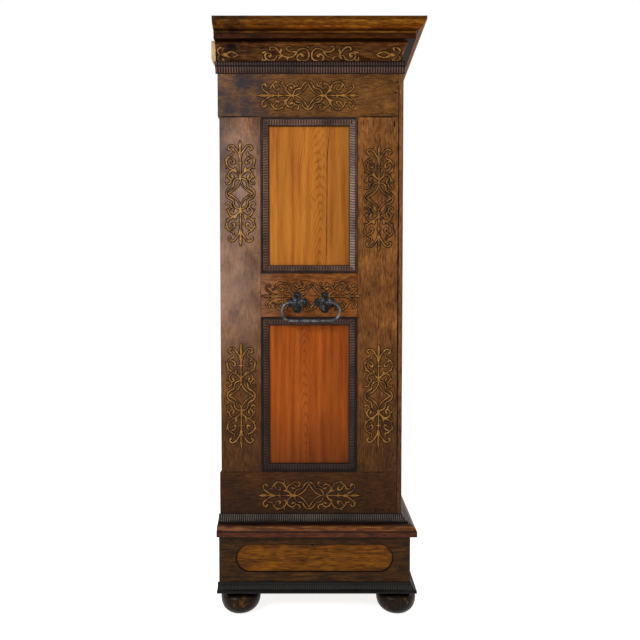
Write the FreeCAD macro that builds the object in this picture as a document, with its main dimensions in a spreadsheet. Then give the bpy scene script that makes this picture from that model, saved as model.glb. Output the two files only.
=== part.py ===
import FreeCAD, Part
import math
import os
import re
import Sketcher

# A two-door baroque wardrobe on a drawer base with bun feet.
# Millimetres, +Z up, doors facing -Y, origin on the floor under the middle of the whole piece.

Vector = FreeCAD.Vector
Rotation = FreeCAD.Rotation
Placement = FreeCAD.Placement

doc = FreeCAD.newDocument("Wardrobe")

SIZES = {
    # Carcass
    "case_width": 1780,
    "side_thick": 24,
    "post_thick": 17,
    "post_width": 130,
    "stile_width": 147,
    "panel_opening_width": 351,
    "stile_setback": 5.5,
    "back_board_thick": 18,
    "floor_thick": 18,
    "floor_groove": 8,
    "joint_gap": 0.2,
    "tenon_length": 30,
    "tenon_thick": 8,
    "tenon_shoulder": 25,
    "overrun": 2,
    # Panels and the rippled mouldings that frame them
    "panel_thick": 10,
    "panel_recess": 12,
    "panel_tongue": 9,
    "frame_ripple_width": 30,
    "frame_ripple_bead": 8,
    "frame_ripple_chamfer": 2,
    "frame_ripple_rise": 4,
    "frame_ripple_edge": 5,
    # Heights, from the floor up
    "foot_height": 88,
    "base_ripple_height": 33,
    "base_body_height": 173,
    "waist_height": 41,
    "case_seat_depth": 21,
    "waist_ripple_height": 27,
    "bottom_rail_show": 154,
    "lower_opening_height": 570,
    "middle_rail_height": 158,
    "upper_opening_height": 561,
    "top_rail_show": 152,
    "crown_band_height": 24,
    "crown_bead_height": 20,
    "frieze_height": 64,
    "cornice_height": 62,
    # Feet
    "foot_radius": 73,
    "foot_sole_radius": 33,
    "foot_neck_radius": 42,
    "foot_neck_height": 9,
    "foot_spigot_radius": 15,
    "foot_spigot_length": 16,
    # Base
    "base_reach": 28,
    "base_floor_thick": 20,
    "base_back_thick": 20,
    "base_lid_thick": 20,
    "base_ripple_reach": 22,
    "base_ripple_lip": 8,
    "moulding_overhang": 5,
    "oval_margin": 61,
    "oval_height": 104,
    "oval_depth": 5,
    # Waist
    "waist_reach": 50,
    "waist_shoulder": 28,
    "waist_band_height": 16,
    "waist_ripple_reach": 22,
    "waist_ripple_lip": 5,
    # Crown
    "crown_reach": 70,
    "crown_overhang": 6.5,
    "crown_back_thick": 15,
    "frieze_thick": 26,
    "frieze_hollow": 4,
    "frieze_flare": 10,
    "frieze_fillet": 5,
    "crown_ripple_reach": 7,
    "crown_bead_reach": 10,
    "cornice_seat": 12,
    "cornice_soffit_reach": 37,
    "cornice_band_height": 18,
    "cornice_bead_height": 8,
    "cornice_bead_reach": 4,
    "cornice_cove_height": 11,
    "cornice_ogee_height": 14,
    "cornice_fillet_height": 11,
    "cornice_step": 1.5,
    "dust_board_thick": 18,
    # Inside
    "shelf_z": 1671,
    "shelf_thick": 20,
    "batten_height": 70,
    "batten_thick": 20,
    "rail_radius": 14,
    "rail_drop": 38,
    "rail_socket_radius": 24,
    "rail_socket_depth": 16,
    "rail_socket_floor": 4,
    "rail_cup_radius": 19,
    "running_gap": 0.3,
    # Doors
    "door_thick": 26,
    "door_gap": 3,
    "door_stile_width": 115,
    "sill_show": 26,
    "head_show": 31,
    "centre_post_width": 90,
    "centre_post_depth": 50,
    "centre_post_lip": 11,
    # Door hinges
    "knuckle_radius": 7,
    "knuckle_standoff": 7.5,
    "knuckle_length": 46,
    "hinge_pin_radius": 3.5,
    "pin_gap": 0.06,
    "hinge_plate_width": 42,
    "hinge_plate_thick": 2.5,
    # Locks
    "lock_width": 88,
    "lock_height": 86,
    "lock_depth": 22,
    "lock_inset": 14,
    "lock_wall": 3,
    "bolt_height": 16,
    "bolt_thick": 10,
    "bolt_length": 60,
    "bolt_throw": 14,
    "bolt_rise": 13.2,
    "bolt_gap": 0.3,
    "strike_depth": 12,
    "key_radius": 4,
    "key_reach": 24,
    "key_bit_length": 12.5,
    "key_bit_width": 9,
    "key_bit_thick": 3,
    "key_bow_radius": 11,
    "key_bow_wire": 2.6,
    "keyhole_gap": 1,
    "plate_half_width": 17,
    "plate_half_height": 34,
    "plate_thick": 2.5,
    # Drawers
    "base_stile_width": 90,
    "base_sill_height": 48,
    "base_head_height": 17,
    "base_front_thick": 28,
    "drawer_gap": 2,
    "drawer_front_thick": 24,
    "drawer_side_thick": 14,
    "drawer_side_height": 120,
    "drawer_back_room": 95.5,
    "drawer_floor_thick": 9,
    "drawer_floor_rise": 12,
    "drawer_groove": 6,
    "runner_width": 50,
    "guide_height": 18,
    "guide_width": 12,
    "knob_radius": 18,
    "knob_neck_radius": 8,
    "knob_neck_length": 10,
    "knob_flare_length": 7,
    "knob_edge_length": 6,
    "knob_face_radius": 11,
    "knob_length": 30,
    "knob_spacing": 340,
    # Side handles
    "rosette_spacing": 100,
    "rosette_plate_radius": 20,
    "rosette_plate_thick": 4,
    "lobe_side": 20,
    "lobe_tip_side": 5,
    "lobe_height": 11,
    "lobe_offset": 29,
    "eye_standoff": 26,
    "eye_radius": 9.5,
    "eye_thick": 9,
    "bail_rod_radius": 4.6,
    "bail_drop": 66,
    "bail_width": 209,
    "bail_gap": 0.08,
    "bail_end": 5,
    "handle_rise": -26,
    "handle_shift": -6.5,
}

PLACES = {
    "half_width": "case_width / 2",
    "side_in_x": "half_width - side_thick",
    "case_depth": "post_thick + 2 * stile_width + panel_opening_width + stile_setback",
    "overall_depth": "crown_reach + case_depth + crown_overhang + crown_back_thick",
    "front_y": "crown_reach - overall_depth / 2",
    "back_y": "front_y + case_depth",
    "stile_back_y": "back_y - stile_setback",
    "frame_front_y": "front_y + post_thick",
    "opening_front_y": "frame_front_y + stile_width",
    "opening_back_y": "opening_front_y + panel_opening_width",
    "board_front_y": "stile_back_y - back_board_thick",
    "base_ripple_top": "foot_height + base_ripple_height",
    "base_top_z": "base_ripple_top + base_body_height",
    "waist_top_z": "base_top_z + waist_height",
    "case_bottom_z": "waist_top_z - case_seat_depth",
    "waist_ripple_top": "waist_top_z + waist_ripple_height",
    "lower_bottom_z": "waist_ripple_top + bottom_rail_show",
    "lower_top_z": "lower_bottom_z + lower_opening_height",
    "upper_bottom_z": "lower_top_z + middle_rail_height",
    "upper_top_z": "upper_bottom_z + upper_opening_height",
    "crown_bottom_z": "upper_top_z + top_rail_show",
    "case_top_z": "crown_bottom_z + crown_band_height",
    "crown_ripple_top": "case_top_z + crown_bead_height",
    "frieze_top_z": "crown_ripple_top + frieze_height",
    "panel_out_x": "half_width - panel_recess",
    "panel_in_x": "panel_out_x - panel_thick",
    "tenon_mid_x": "half_width - side_thick / 2",
    "door_bottom_z": "waist_ripple_top + sill_show + door_gap",
    "door_top_z": "crown_bottom_z - head_show - door_gap",
    "door_hinge_x": "half_width - post_width - door_gap",
    "door_free_x": "centre_post_width / 2 + door_gap",
    "door_back_y": "front_y + door_thick",
    "floor_top_z": "door_bottom_z - door_gap",
    "floor_bottom_z": "floor_top_z - floor_thick",
    "post_back_y": "front_y + centre_post_depth",
    "hinge_axis_x": "half_width - post_width - door_gap / 2",
    "hinge_axis_y": "front_y - knuckle_standoff",
    "key_x": "door_free_x + door_stile_width / 2",
    "key_z": "(lower_top_z + upper_bottom_z) / 2",
    "lock_end_x": "door_free_x + lock_inset",
    "base_front_y": "front_y - base_reach",
    "base_side_x": "half_width + base_reach",
    "base_middle_y": "(base_front_y + back_y) / 2",
    "oval_z": "(base_ripple_top + base_top_z) / 2",
    "drawer_low_z": "foot_height + base_sill_height",
    "drawer_high_z": "base_top_z - base_head_height",
    "drawer_out_x": "half_width - base_stile_width",
    "drawer_in_x": "base_stile_width / 2",
    "drawer_mid_x": "(drawer_out_x + drawer_in_x) / 2",
    "drawer_width": "drawer_out_x - drawer_in_x - 2 * drawer_gap",
    "handle_z": "key_z + handle_rise",
    "handle_y": "(opening_front_y + opening_back_y) / 2 + handle_shift",
}

# Shares chosen by hand, each of the size that it is multiplied with.
SHARES = {
    "foot_belly_share": 0.5,
    "foot_low_up_share": 0.19,
    "foot_low_out_share": 0.87,
    "base_hollow_share": 0.4,
    "waist_swell_out_share": 0.35,
    "waist_swell_up_share": 0.66,
    "frieze_hollow_up_share": 0.42,
    "crown_bead_up_share": 0.45,
    "crown_bead_top_share": 0.6,
    "cove_share": 0.35,
    "ogee_share": 0.3,
    "pine_round_share": 0.45,
    "pine_bow_share": 0.4,
    "hinge_pin_share": 0.8,
    "hinge_bore_share": 0.9,
    "plate_waist_out_share": 0.8,
    "plate_waist_up_share": 0.5,
    "rod_flat_share": 0.924,
    "rod_corner_share": 0.383,
}
HINGE_SHARES = (0.11, 0.5, 0.89)
BACK_BOARDS = 8

WORD = re.compile(r"[a-z][a-z0-9_]*")


def bound(formula):
    """A formula in named sizes, written as the document reads it."""
    def full_name(match):
        word = match.group(0)
        if word in SIZES:
            return "Sizes." + word
        if word in SHARES:
            return "Shares." + word
        if word in PLACES:
            return "Places." + word
        return word
    return WORD.sub(full_name, str(formula))


def fill_sheet(name, rows):
    sheet = doc.addObject("Spreadsheet::Sheet", name)
    for number, (alias, text) in enumerate(rows, start=1):
        cell = "B%d" % number
        sheet.set("A%d" % number, alias)
        sheet.set(cell, text)
        sheet.setAlias(cell, alias)
    doc.recompute()
    return sheet


sizes = fill_sheet("Sizes", [(alias, str(number)) for alias, number in SIZES.items()])
fill_sheet("Shares", [(alias, str(number)) for alias, number in SHARES.items()])
fill_sheet("Places", [(alias, "=" + bound(formula)) for alias, formula in PLACES.items()])


def value(formula):
    """The number that a formula has now, for a sketch's first points."""
    return float(sizes.evalExpression(bound(formula)))


# Ways of making a piece

FACING_FRONT = Rotation(Vector(1, 0, 0), 90)
FACING_LEFT = Rotation(Vector(0, 0, 1), -90) * FACING_FRONT
ALONG_X = Rotation(Vector(0, 1, 0), 90)
UPRIGHT = Rotation()


def place(piece, x=0, y=0, z=0, turn=UPRIGHT):
    piece.Placement = Placement(Vector(), turn)
    for axis, formula in (("x", x), ("y", y), ("z", z)):
        piece.setExpression(".Placement.Base." + axis, bound(formula))
    return piece


def board(name, x, y, z):
    """A sawn board between a low and a high plane each way."""
    piece = doc.addObject("Part::Box", name)
    for side, (low, high) in (("Length", x), ("Width", y), ("Height", z)):
        piece.setExpression(side, bound("(%s) - (%s)" % (high, low)))
    return place(piece, x[0], y[0], z[0])


def rod(name, radius, length, x=0, y=0, z=0, turn=UPRIGHT):
    piece = doc.addObject("Part::Cylinder", name)
    piece.setExpression("Radius", bound(radius))
    piece.setExpression("Height", bound(length))
    return place(piece, x, y, z, turn)


def diamond_point(name, side, tip_side, height, x=0, y=0):
    """A four-sided point that stands on its diagonal and rises along +Z, with its tip cut flat."""
    piece = doc.addObject("Part::Wedge", name)
    for low, high, size in (("Xmin", "Xmax", side), ("Zmin", "Zmax", side),
                            ("X2min", "X2max", tip_side), ("Z2min", "Z2max", tip_side)):
        piece.setExpression(high, bound("%s / 2" % size))
        piece.setExpression(low, bound("-%s / 2" % size))
    piece.Ymin = 0
    piece.setExpression("Ymax", bound(height))
    return place(piece, x, y, 0, Rotation(Vector(0, 0, 1), 45) * FACING_FRONT)


def group(name, *pieces):
    """Separate solids that share a node."""
    node = doc.addObject("Part::Compound", name)
    node.Links = list(pieces)
    return node


def joined(name, *pieces):
    node = doc.addObject("Part::MultiFuse", name)
    node.Shapes = list(pieces)
    return node


def cut(name, piece, *tools):
    node = doc.addObject("Part::Cut", name)
    node.Base = piece
    node.Tool = tools[0] if len(tools) == 1 else joined(name + "_tools", *tools)
    return node


def mirrored(name, piece):
    """The same piece on the other side of the middle plane."""
    node = doc.addObject("Part::Mirroring", name)
    node.Source = piece
    node.Normal = Vector(1, 0, 0)
    return node


def new_body(name):
    return doc.addObject("PartDesign::Body", name)


def origin_plane(body, role):
    return next(plane for plane in body.Origin.OriginFeatures if plane.Role == role)


def via(x, y):
    """A point that an arc passes on its way between its neighbours."""
    return ("via", x, y)


def outline(body, role, points):
    """A closed sketch through points given as formulas, straight or bowed through a via point."""
    sketch = body.newObject("Sketcher::SketchObject", body.Name + "_" + role[:2].lower())
    sketch.AttachmentSupport = [(origin_plane(body, role), "")]
    sketch.MapMode = "FlatFace"
    corners = [point for point in points if point[0] != "via"]
    bows = {}
    for place_in_list, point in enumerate(points):
        if point[0] == "via":
            before = sum(1 for other in points[:place_in_list] if other[0] != "via")
            bows[before - 1] = point[1:]

    def spot(point):
        return Vector(value(point[0]), value(point[1]), 0)

    def pin(geometry, end, point):
        for kind, formula in (("DistanceX", point[0]), ("DistanceY", point[1])):
            number = sketch.addConstraint(
                Sketcher.Constraint(kind, -1, 1, geometry, end, value(formula)))
            sketch.setExpression("Constraints[%d]" % number, bound(formula))

    ends = []
    for number, corner in enumerate(corners):
        start = spot(corner)
        stop = spot(corners[(number + 1) % len(corners)])
        if number not in bows:
            line = sketch.addGeometry(Part.LineSegment(start, stop))
            ends.append((line, 1, 2))
            continue
        middle = spot(bows[number])
        circle = Part.Arc(start, middle, stop).toShape().Curve
        centre = circle.Center
        turning_left = (middle - start).cross(stop - middle).z > 0
        first, last = (start, stop) if turning_left else (stop, start)
        low = math.atan2(first.y - centre.y, first.x - centre.x)
        high = math.atan2(last.y - centre.y, last.x - centre.x)
        full = Part.Circle(centre, Vector(0, 0, 1), circle.Radius)
        arc = sketch.addGeometry(Part.ArcOfCircle(full, low, high))
        ends.append((arc, 1, 2) if turning_left else (arc, 2, 1))
    for number, (geometry, start_end, stop_end) in enumerate(ends):
        following, next_start, _ = ends[(number + 1) % len(ends)]
        sketch.addConstraint(
            Sketcher.Constraint("Coincident", geometry, stop_end, following, next_start))
        pin(geometry, start_end, corners[number])
        if number in bows:
            mark = sketch.addGeometry(Part.Point(spot(bows[number])), True)
            pin(mark, 1, bows[number])
            sketch.addConstraint(Sketcher.Constraint("PointOnObject", mark, 1, geometry))
    return sketch


def pad(body, sketch, length, both_ways=False, down=False):
    feature = body.newObject("PartDesign::Pad", body.Name + "_pad")
    feature.Profile = sketch
    feature.setExpression("Length", bound(length))
    feature.Midplane = both_ways
    feature.Reversed = down
    return feature


def pocket(body, sketch, depth=None, both_ways=False):
    """A pocket below its sketch, or right through on both sides of it."""
    feature = body.newObject("PartDesign::Pocket", body.Name + "_pocket")
    feature.Profile = sketch
    if depth is None:
        feature.Type = "ThroughAll"
    else:
        feature.setExpression("Length", bound(depth))
    feature.Midplane = both_ways
    return feature


def turned(name, points):
    """A lathe-turned solid: its outline in radius and height, spun about its own Z axis."""
    body = new_body(name)
    sketch = outline(body, "XZ_Plane", points)
    spin = body.newObject("PartDesign::Revolution", name + "_spin")
    spin.Profile = sketch
    spin.ReferenceAxis = (sketch, ["V_Axis"])
    return body


def stick(name, section, run, reach, depth, mitres=("start", "end"), overhang="0"):
    """A length of moulding along +X with its face to +Y, sawn at 45 degrees where it is mitred.

    The run is measured on the line where the section has no projection. The section reaches out
    by reach and back by depth from that line.
    """
    body = new_body(name)
    sketch = outline(body, "YZ_Plane", section)
    feature = pad(body, sketch, "(%s) + (%s) + (%s)" % (
        run,
        reach if "start" in mitres else "0",
        reach if "end" in mitres else overhang))
    if "start" in mitres:
        sketch.setExpression(".AttachmentOffset.Base.z", bound("-(%s)" % reach))
    far = "(%s) + overrun" % reach
    near = "(%s) + overrun" % depth
    if "start" in mitres:
        waste = outline(body, "XY_Plane", [
            ("-(%s)" % far, "-(%s)" % near), (near, "-(%s)" % near), ("-(%s)" % far, far)])
        feature = pocket(body, waste, both_ways=True)
    if "end" in mitres:
        waste = outline(body, "XY_Plane", [
            ("(%s) + %s" % (run, far), "-(%s)" % near),
            ("(%s) + %s" % (run, far), far),
            ("(%s) - (%s)" % (run, near), "-(%s)" % near)])
        feature = pocket(body, waste, both_ways=True)
    body.Tip = feature
    return body


def run_round(name, section, z, out, reach, depth, overhang):
    """A moulding round the front and both sides, mitred at the two front corners.

    The section's line of no projection stands out from the case by out.
    """
    corner_x = "half_width + %s" % out
    corner_y = "front_y - (%s)" % out
    front = stick(name + "_front", section, "2 * (%s)" % corner_x, reach, depth)
    place(front, corner_x, corner_y, z, Rotation(Vector(0, 0, 1), 180))
    left = stick(name + "_left", section, "back_y - (%s)" % corner_y, reach, depth,
                 mitres=("start",), overhang=overhang)
    place(left, "-(%s)" % corner_x, corner_y, z, Rotation(Vector(0, 0, 1), 90))
    return group(name, front, left, mirrored(name + "_right", left))


# The rippled stick that frames every panel: a bead against the frame and a band sloping inward

FRAME_RIPPLE = [
    ("0", "0"),
    ("0", "panel_recess"),
    ("-frame_ripple_chamfer", "panel_recess + frame_ripple_rise"),
    ("frame_ripple_chamfer - frame_ripple_bead", "panel_recess + frame_ripple_rise"),
    ("-frame_ripple_bead", "panel_recess"),
    ("-frame_ripple_width", "frame_ripple_edge"),
    ("-frame_ripple_width", "0"),
]


def ripple_frame(name, width, height):
    """Four mitred sticks, with X along the width, Y up the height and Z out of the panel."""
    top = place(stick(name + "_top", FRAME_RIPPLE, width, "0", "frame_ripple_width"), 0, height)
    foot = stick(name + "_foot", FRAME_RIPPLE, width, "0", "frame_ripple_width")
    place(foot, width, 0, 0, Rotation(Vector(0, 0, 1), 180))
    near = stick(name + "_near", FRAME_RIPPLE, height, "0", "frame_ripple_width")
    place(near, 0, 0, 0, Rotation(Vector(0, 0, 1), 90))
    far = stick(name + "_far", FRAME_RIPPLE, height, "0", "frame_ripple_width")
    place(far, width, height, 0, Rotation(Vector(0, 0, 1), -90))
    return group(name, top, foot, near, far)


def grown(low, high, gap):
    return ("(%s) - (%s)" % (low, gap), "(%s) + (%s)" % (high, gap))


nodes = []


def keep(node, name=None):
    """Mark a finished piece as a node of the wardrobe."""
    if name:
        node.Label = name
    nodes.append(node)
    return node


def keep_pair(left, stem):
    keep(left, stem + "_left")
    keep(mirrored(stem + "_right", left))


# Feet: turned buns with a spigot into the base floor

foot_section = [
    ("0", "0"),
    ("foot_sole_radius", "0"),
    ("foot_radius * foot_low_out_share", "foot_height * foot_low_up_share"),
    via("foot_radius", "foot_height * foot_belly_share"),
    ("foot_neck_radius", "foot_height - foot_neck_height"),
    ("foot_neck_radius", "foot_height"),
    ("foot_spigot_radius", "foot_height"),
    ("foot_spigot_radius", "foot_height + foot_spigot_length"),
    ("0", "foot_height + foot_spigot_length"),
]
foot_x = "base_side_x - foot_radius + waist_ripple_reach + waist_ripple_lip"
foot_rows = (("front", "base_front_y + foot_radius - waist_ripple_reach - waist_ripple_lip"),
             ("back", "back_y - foot_radius"))
feet = []
spigot_holes = []
for row, foot_y in foot_rows:
    left_foot = place(turned("foot_" + row, foot_section), "-(%s)" % foot_x, foot_y)
    feet += [left_foot, mirrored("foot_right_" + row, left_foot)]
    hole = rod("spigot_hole_" + row, "foot_spigot_radius + joint_gap",
               "foot_spigot_length + joint_gap + overrun",
               "-(%s)" % foot_x, foot_y, "foot_height - overrun")
    spigot_holes += [hole, mirrored("spigot_hole_right_" + row, hole)]
keep(group("bun_feet", *feet))


# Base: board box with an oval sunk in each side, a framed front and two drawers


def oval(body, length, height):
    """A long oval with half-round ends, centred on the body's own origin."""
    straight = "((%s) - (%s)) / 2" % (length, height)
    tip = "(%s) / 2" % length
    side = "(%s) / 2" % height
    return outline(body, "XY_Plane", [
        ("-(%s)" % straight, "-(%s)" % side), (straight, "-(%s)" % side), via(tip, "0"),
        (straight, side), ("-(%s)" % straight, side), via("-(%s)" % tip, "0")])


def oval_board(name, length, low, high, thick):
    """A board facing +Z with the oval sunk in its face; low and high are from the oval's middle."""
    body = new_body(name)
    half = "(%s) / 2" % length
    face = outline(body, "XY_Plane", [
        ("-(%s)" % half, "-(%s)" % low), (half, "-(%s)" % low), (half, high),
        ("-(%s)" % half, high)])
    pad(body, face, thick, down=True)
    sunk = oval(body, "(%s) - 2 * oval_margin" % length, "oval_height")
    body.Tip = pocket(body, sunk, "oval_depth")
    return body


base_side = oval_board("base_side", "back_y - base_front_y", "oval_z - foot_height",
                       "base_top_z - oval_z", "base_reach")
place(base_side, "-base_side_x", "base_middle_y", "oval_z", FACING_LEFT)
keep(group("base_sides", base_side, mirrored("base_side_right", base_side)))

keep(board("base_back", ("-half_width", "half_width"), ("back_y - base_back_thick", "back_y"),
           ("foot_height", "base_top_z")))
base_inside_y = ("base_front_y + base_front_thick", "back_y - base_back_thick")
base_floor = board("base_floor_board", ("-half_width", "half_width"), base_inside_y,
                   ("foot_height", "foot_height + base_floor_thick"))
keep(cut("base_floor", base_floor, *spigot_holes))
keep(board("base_lid", ("-half_width", "half_width"), ("front_y", "back_y"),
           ("base_top_z", "base_top_z + base_lid_thick")))

base_front_y_span = ("base_front_y", "base_front_y + base_front_thick")
base_sill = board("base_sill", ("-half_width", "half_width"), base_front_y_span,
                  ("foot_height", "drawer_low_z"))
base_head = board("base_head", ("-half_width", "half_width"), base_front_y_span,
                  ("drawer_high_z", "base_top_z"))
base_stile = board("base_stile", ("-half_width", "-drawer_out_x"), base_front_y_span,
                   ("drawer_low_z", "drawer_high_z"))
base_mullion = board("base_mullion", ("-drawer_in_x", "drawer_in_x"), base_front_y_span,
                     ("drawer_low_z", "drawer_high_z"))
keep(group("base_front_frame", base_sill, base_head, base_stile,
           mirrored("base_stile_right", base_stile), base_mullion))

runner_z = ("foot_height + base_floor_thick", "drawer_low_z")
guide_z = ("foot_height + base_floor_thick", "drawer_low_z + guide_height")
outer_runner = joined(
    "outer_runner",
    board("outer_runner_bed", ("-drawer_out_x", "runner_width - drawer_out_x"),
          base_inside_y, runner_z),
    board("outer_runner_guide", ("-drawer_out_x - guide_width", "-drawer_out_x"),
          base_inside_y, guide_z))
middle_runner = joined(
    "middle_runner",
    board("middle_runner_bed", ("-drawer_in_x - runner_width", "drawer_in_x + runner_width"),
          base_inside_y, runner_z),
    board("middle_runner_guide", ("-drawer_in_x", "drawer_in_x"), base_inside_y, guide_z))
keep(group("drawer_runners", outer_runner, mirrored("outer_runner_right", outer_runner),
           middle_runner))

base_ripple_section = [
    ("0", "0"),
    ("base_ripple_reach", "0"),
    ("base_ripple_reach", "base_ripple_lip"),
    via("base_ripple_reach * base_hollow_share", "base_ripple_height / 2"),
    ("oval_depth / 2", "base_ripple_height"),
    ("0", "base_ripple_height"),
]
keep(run_round("base_ripple", base_ripple_section, "foot_height", "base_reach",
               "base_ripple_reach", "0", "moulding_overhang"))

waist_section = [
    ("0", "0"),
    ("waist_reach", "0"),
    ("waist_reach", "waist_band_height"),
    via("waist_reach - waist_swell_out_share * (waist_reach - waist_shoulder)",
        "waist_band_height + waist_swell_up_share * (waist_height - waist_band_height)"),
    ("waist_shoulder", "waist_height"),
    ("0", "waist_height"),
]
keep(run_round("waist_moulding", waist_section, "base_top_z", "0", "waist_reach", "0",
               "moulding_overhang"))

waist_ripple_section = [
    ("0", "0"),
    ("waist_ripple_reach", "0"),
    ("waist_ripple_reach", "waist_ripple_lip"),
    via("waist_ripple_reach / 2", "waist_ripple_height / 2"),
    ("waist_ripple_lip / 2", "waist_ripple_height"),
    ("0", "waist_ripple_height"),
]
keep(run_round("waist_ripple", waist_ripple_section, "waist_top_z", "0", "waist_ripple_reach",
               "0", "moulding_overhang"))


# Case sides: two stiles tenoned between through rails, a middle rail, and two floating panels

side_x = ("-half_width", "-side_in_x")
tenon_x = ("-tenon_mid_x - tenon_thick / 2", "-tenon_mid_x + tenon_thick / 2")


def tenoned(name, x, y, z, tenon):
    """A frame member and the bar that its two tenons are the ends of."""
    bar = board(name + "_tenons", tenon["x"], tenon["y"], tenon["z"])
    hole = {axis: grown(low, high, "joint_gap") for axis, (low, high) in tenon.items()}
    mortise = board(name + "_mortise", hole["x"], hole["y"], hole["z"])
    body = board(name + "_shoulders", x, y, z)
    return joined(name, body, bar), mortise


side_stiles = []
side_mortises = []
for spot_name, low_y, high_y in (("front", "frame_front_y", "opening_front_y"),
                                 ("back", "opening_back_y", "stile_back_y")):
    stile, mortise = tenoned(
        "side_stile_" + spot_name, side_x, (low_y, high_y), ("lower_bottom_z", "upper_top_z"),
        {"x": tenon_x,
         "y": ("(%s) + tenon_shoulder" % low_y, "(%s) - tenon_shoulder" % high_y),
         "z": ("lower_bottom_z - tenon_length", "upper_top_z + tenon_length")})
    side_stiles.append(stile)
    side_mortises.append(mortise)
middle_rail, middle_mortise = tenoned(
    "side_middle_rail", side_x, ("opening_front_y", "opening_back_y"),
    ("lower_top_z", "upper_bottom_z"),
    {"x": tenon_x,
     "y": ("opening_front_y - tenon_length", "opening_back_y + tenon_length"),
     "z": ("lower_top_z + tenon_shoulder", "upper_bottom_z - tenon_shoulder")})

side_panels = []
side_grooves = []
for spot_name, low_z, high_z in (("upper", "upper_bottom_z", "upper_top_z"),
                                 ("lower", "lower_bottom_z", "lower_top_z")):
    panel_x = ("-panel_out_x", "-panel_in_x")
    panel_y = grown("opening_front_y", "opening_back_y", "panel_tongue")
    panel_z = grown(low_z, high_z, "panel_tongue")
    side_panels.append(board("side_panel_" + spot_name, panel_x, panel_y, panel_z))
    side_grooves.append(board(
        "side_groove_" + spot_name, grown(panel_x[0], panel_x[1], "joint_gap"),
        grown(panel_y[0], panel_y[1], "joint_gap"), grown(panel_z[0], panel_z[1], "joint_gap")))

stile_nodes = [cut(stile.Name + "_cut", stile, middle_mortise, *side_grooves)
               for stile in side_stiles]
keep_pair(group("side_stiles", *stile_nodes), "side_stiles")

floor_span_x = grown("-side_in_x", "side_in_x", "floor_groove - joint_gap")
floor_y = ("frame_front_y", "board_front_y")
floor_z = ("floor_bottom_z", "floor_top_z")
ceiling_z = ("case_top_z - floor_thick", "case_top_z")
floor_dado = board("floor_dado", ("-side_in_x - floor_groove", "side_in_x + floor_groove"),
                   grown(floor_y[0], floor_y[1], "joint_gap"),
                   grown(floor_z[0], floor_z[1], "joint_gap"))
ceiling_dado = board("ceiling_dado", ("-side_in_x - floor_groove", "side_in_x + floor_groove"),
                     ("frame_front_y - overrun", "board_front_y + joint_gap"),
                     ("case_top_z - floor_thick - joint_gap", "case_top_z + overrun"))
top_rail = cut("side_top_rail",
               board("side_top_rail_board", side_x, ("frame_front_y", "back_y"),
                     ("upper_top_z", "case_top_z")),
               side_grooves[0], ceiling_dado, *side_mortises)
bottom_rail = cut("side_bottom_rail",
                  board("side_bottom_rail_board", side_x, ("frame_front_y", "back_y"),
                        ("case_bottom_z", "lower_bottom_z")),
                  side_grooves[1], floor_dado, *side_mortises)
middle_rail = cut("side_middle_rail_cut", middle_rail, *side_grooves)
keep_pair(group("side_rails", top_rail, middle_rail, bottom_rail), "side_rails")
keep_pair(group("side_panels", *side_panels), "side_panels")

for spot_name, low_z, height in (("upper", "upper_bottom_z", "upper_opening_height"),
                                 ("lower", "lower_bottom_z", "lower_opening_height")):
    frame = ripple_frame("side_ripple_" + spot_name, "panel_opening_width", height)
    place(frame, "-panel_out_x", "opening_back_y", low_z, FACING_LEFT)
    keep_pair(frame, "side_ripple_" + spot_name)


# Case front: flat corner posts, sill and head rails, and a lipped centre post

corner_post = board("corner_post", ("-half_width", "post_width - half_width"),
                    ("front_y", "frame_front_y"), ("case_bottom_z", "case_top_z"))
keep(group("corner_posts", corner_post, mirrored("corner_post_right", corner_post)))
post_edge_x = "half_width - post_width"
sill = board("sill_rail", ("-(%s)" % post_edge_x, post_edge_x),
             ("front_y", "frame_front_y"), ("case_bottom_z", "floor_top_z"))
head = board("head_rail", ("-(%s)" % post_edge_x, post_edge_x),
             ("front_y", "frame_front_y"), ("door_top_z + door_gap", "case_top_z"))
keep(group("front_rails", sill, head))

centre_front = board("centre_post_face", ("-centre_post_width / 2", "centre_post_width / 2"),
                     ("front_y", "post_back_y"), ("floor_top_z", "door_top_z + door_gap"))
centre_lip = board("centre_post_lips",
                   grown("-centre_post_width / 2", "centre_post_width / 2", "centre_post_lip"),
                   ("door_back_y + running_gap", "post_back_y"),
                   ("floor_top_z", "door_top_z + door_gap"))
bolt_y = ("door_back_y + (lock_depth - bolt_thick) / 2", "door_back_y + (lock_depth + bolt_thick) / 2")
bolt_z = ("key_z + bolt_rise", "key_z + bolt_rise + bolt_height")
strike_x = ("-centre_post_width / 2 - centre_post_lip - overrun",
            "-centre_post_width / 2 - centre_post_lip + strike_depth")
strike = board("strike_pocket", strike_x, grown(bolt_y[0], bolt_y[1], "keyhole_gap"),
               grown(bolt_z[0], bolt_z[1], "keyhole_gap"))
keep(cut("centre_post", joined("centre_post_blank", centre_front, centre_lip),
         strike, mirrored("strike_pocket_right", strike)))


# Back, floor, ceiling and fittings

board_pitch = "2 * side_in_x / %d" % BACK_BOARDS
back_boards = []
for number in range(BACK_BOARDS):
    low_x = "-side_in_x + %d * (%s)" % (number, board_pitch)
    back_boards.append(board("back_board_%d" % (number + 1),
                             (low_x, "%s + (%s) - joint_gap" % (low_x, board_pitch)),
                             ("board_front_y", "stile_back_y"), ("case_bottom_z", "case_top_z")))
keep(group("back_boards", *back_boards))
keep(board("case_floor", floor_span_x, floor_y, floor_z))
keep(board("case_ceiling", floor_span_x, ("frame_front_y", "board_front_y"), ceiling_z))

batten = board("shelf_batten", ("-side_in_x", "batten_thick - side_in_x"),
               ("post_back_y", "board_front_y"), ("shelf_z - batten_height", "shelf_z"))
keep(group("shelf_battens", batten, mirrored("shelf_batten_right", batten)))
keep(board("hat_shelf", ("-side_in_x", "side_in_x"), ("post_back_y", "board_front_y"),
           ("shelf_z", "shelf_z + shelf_thick")))

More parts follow.
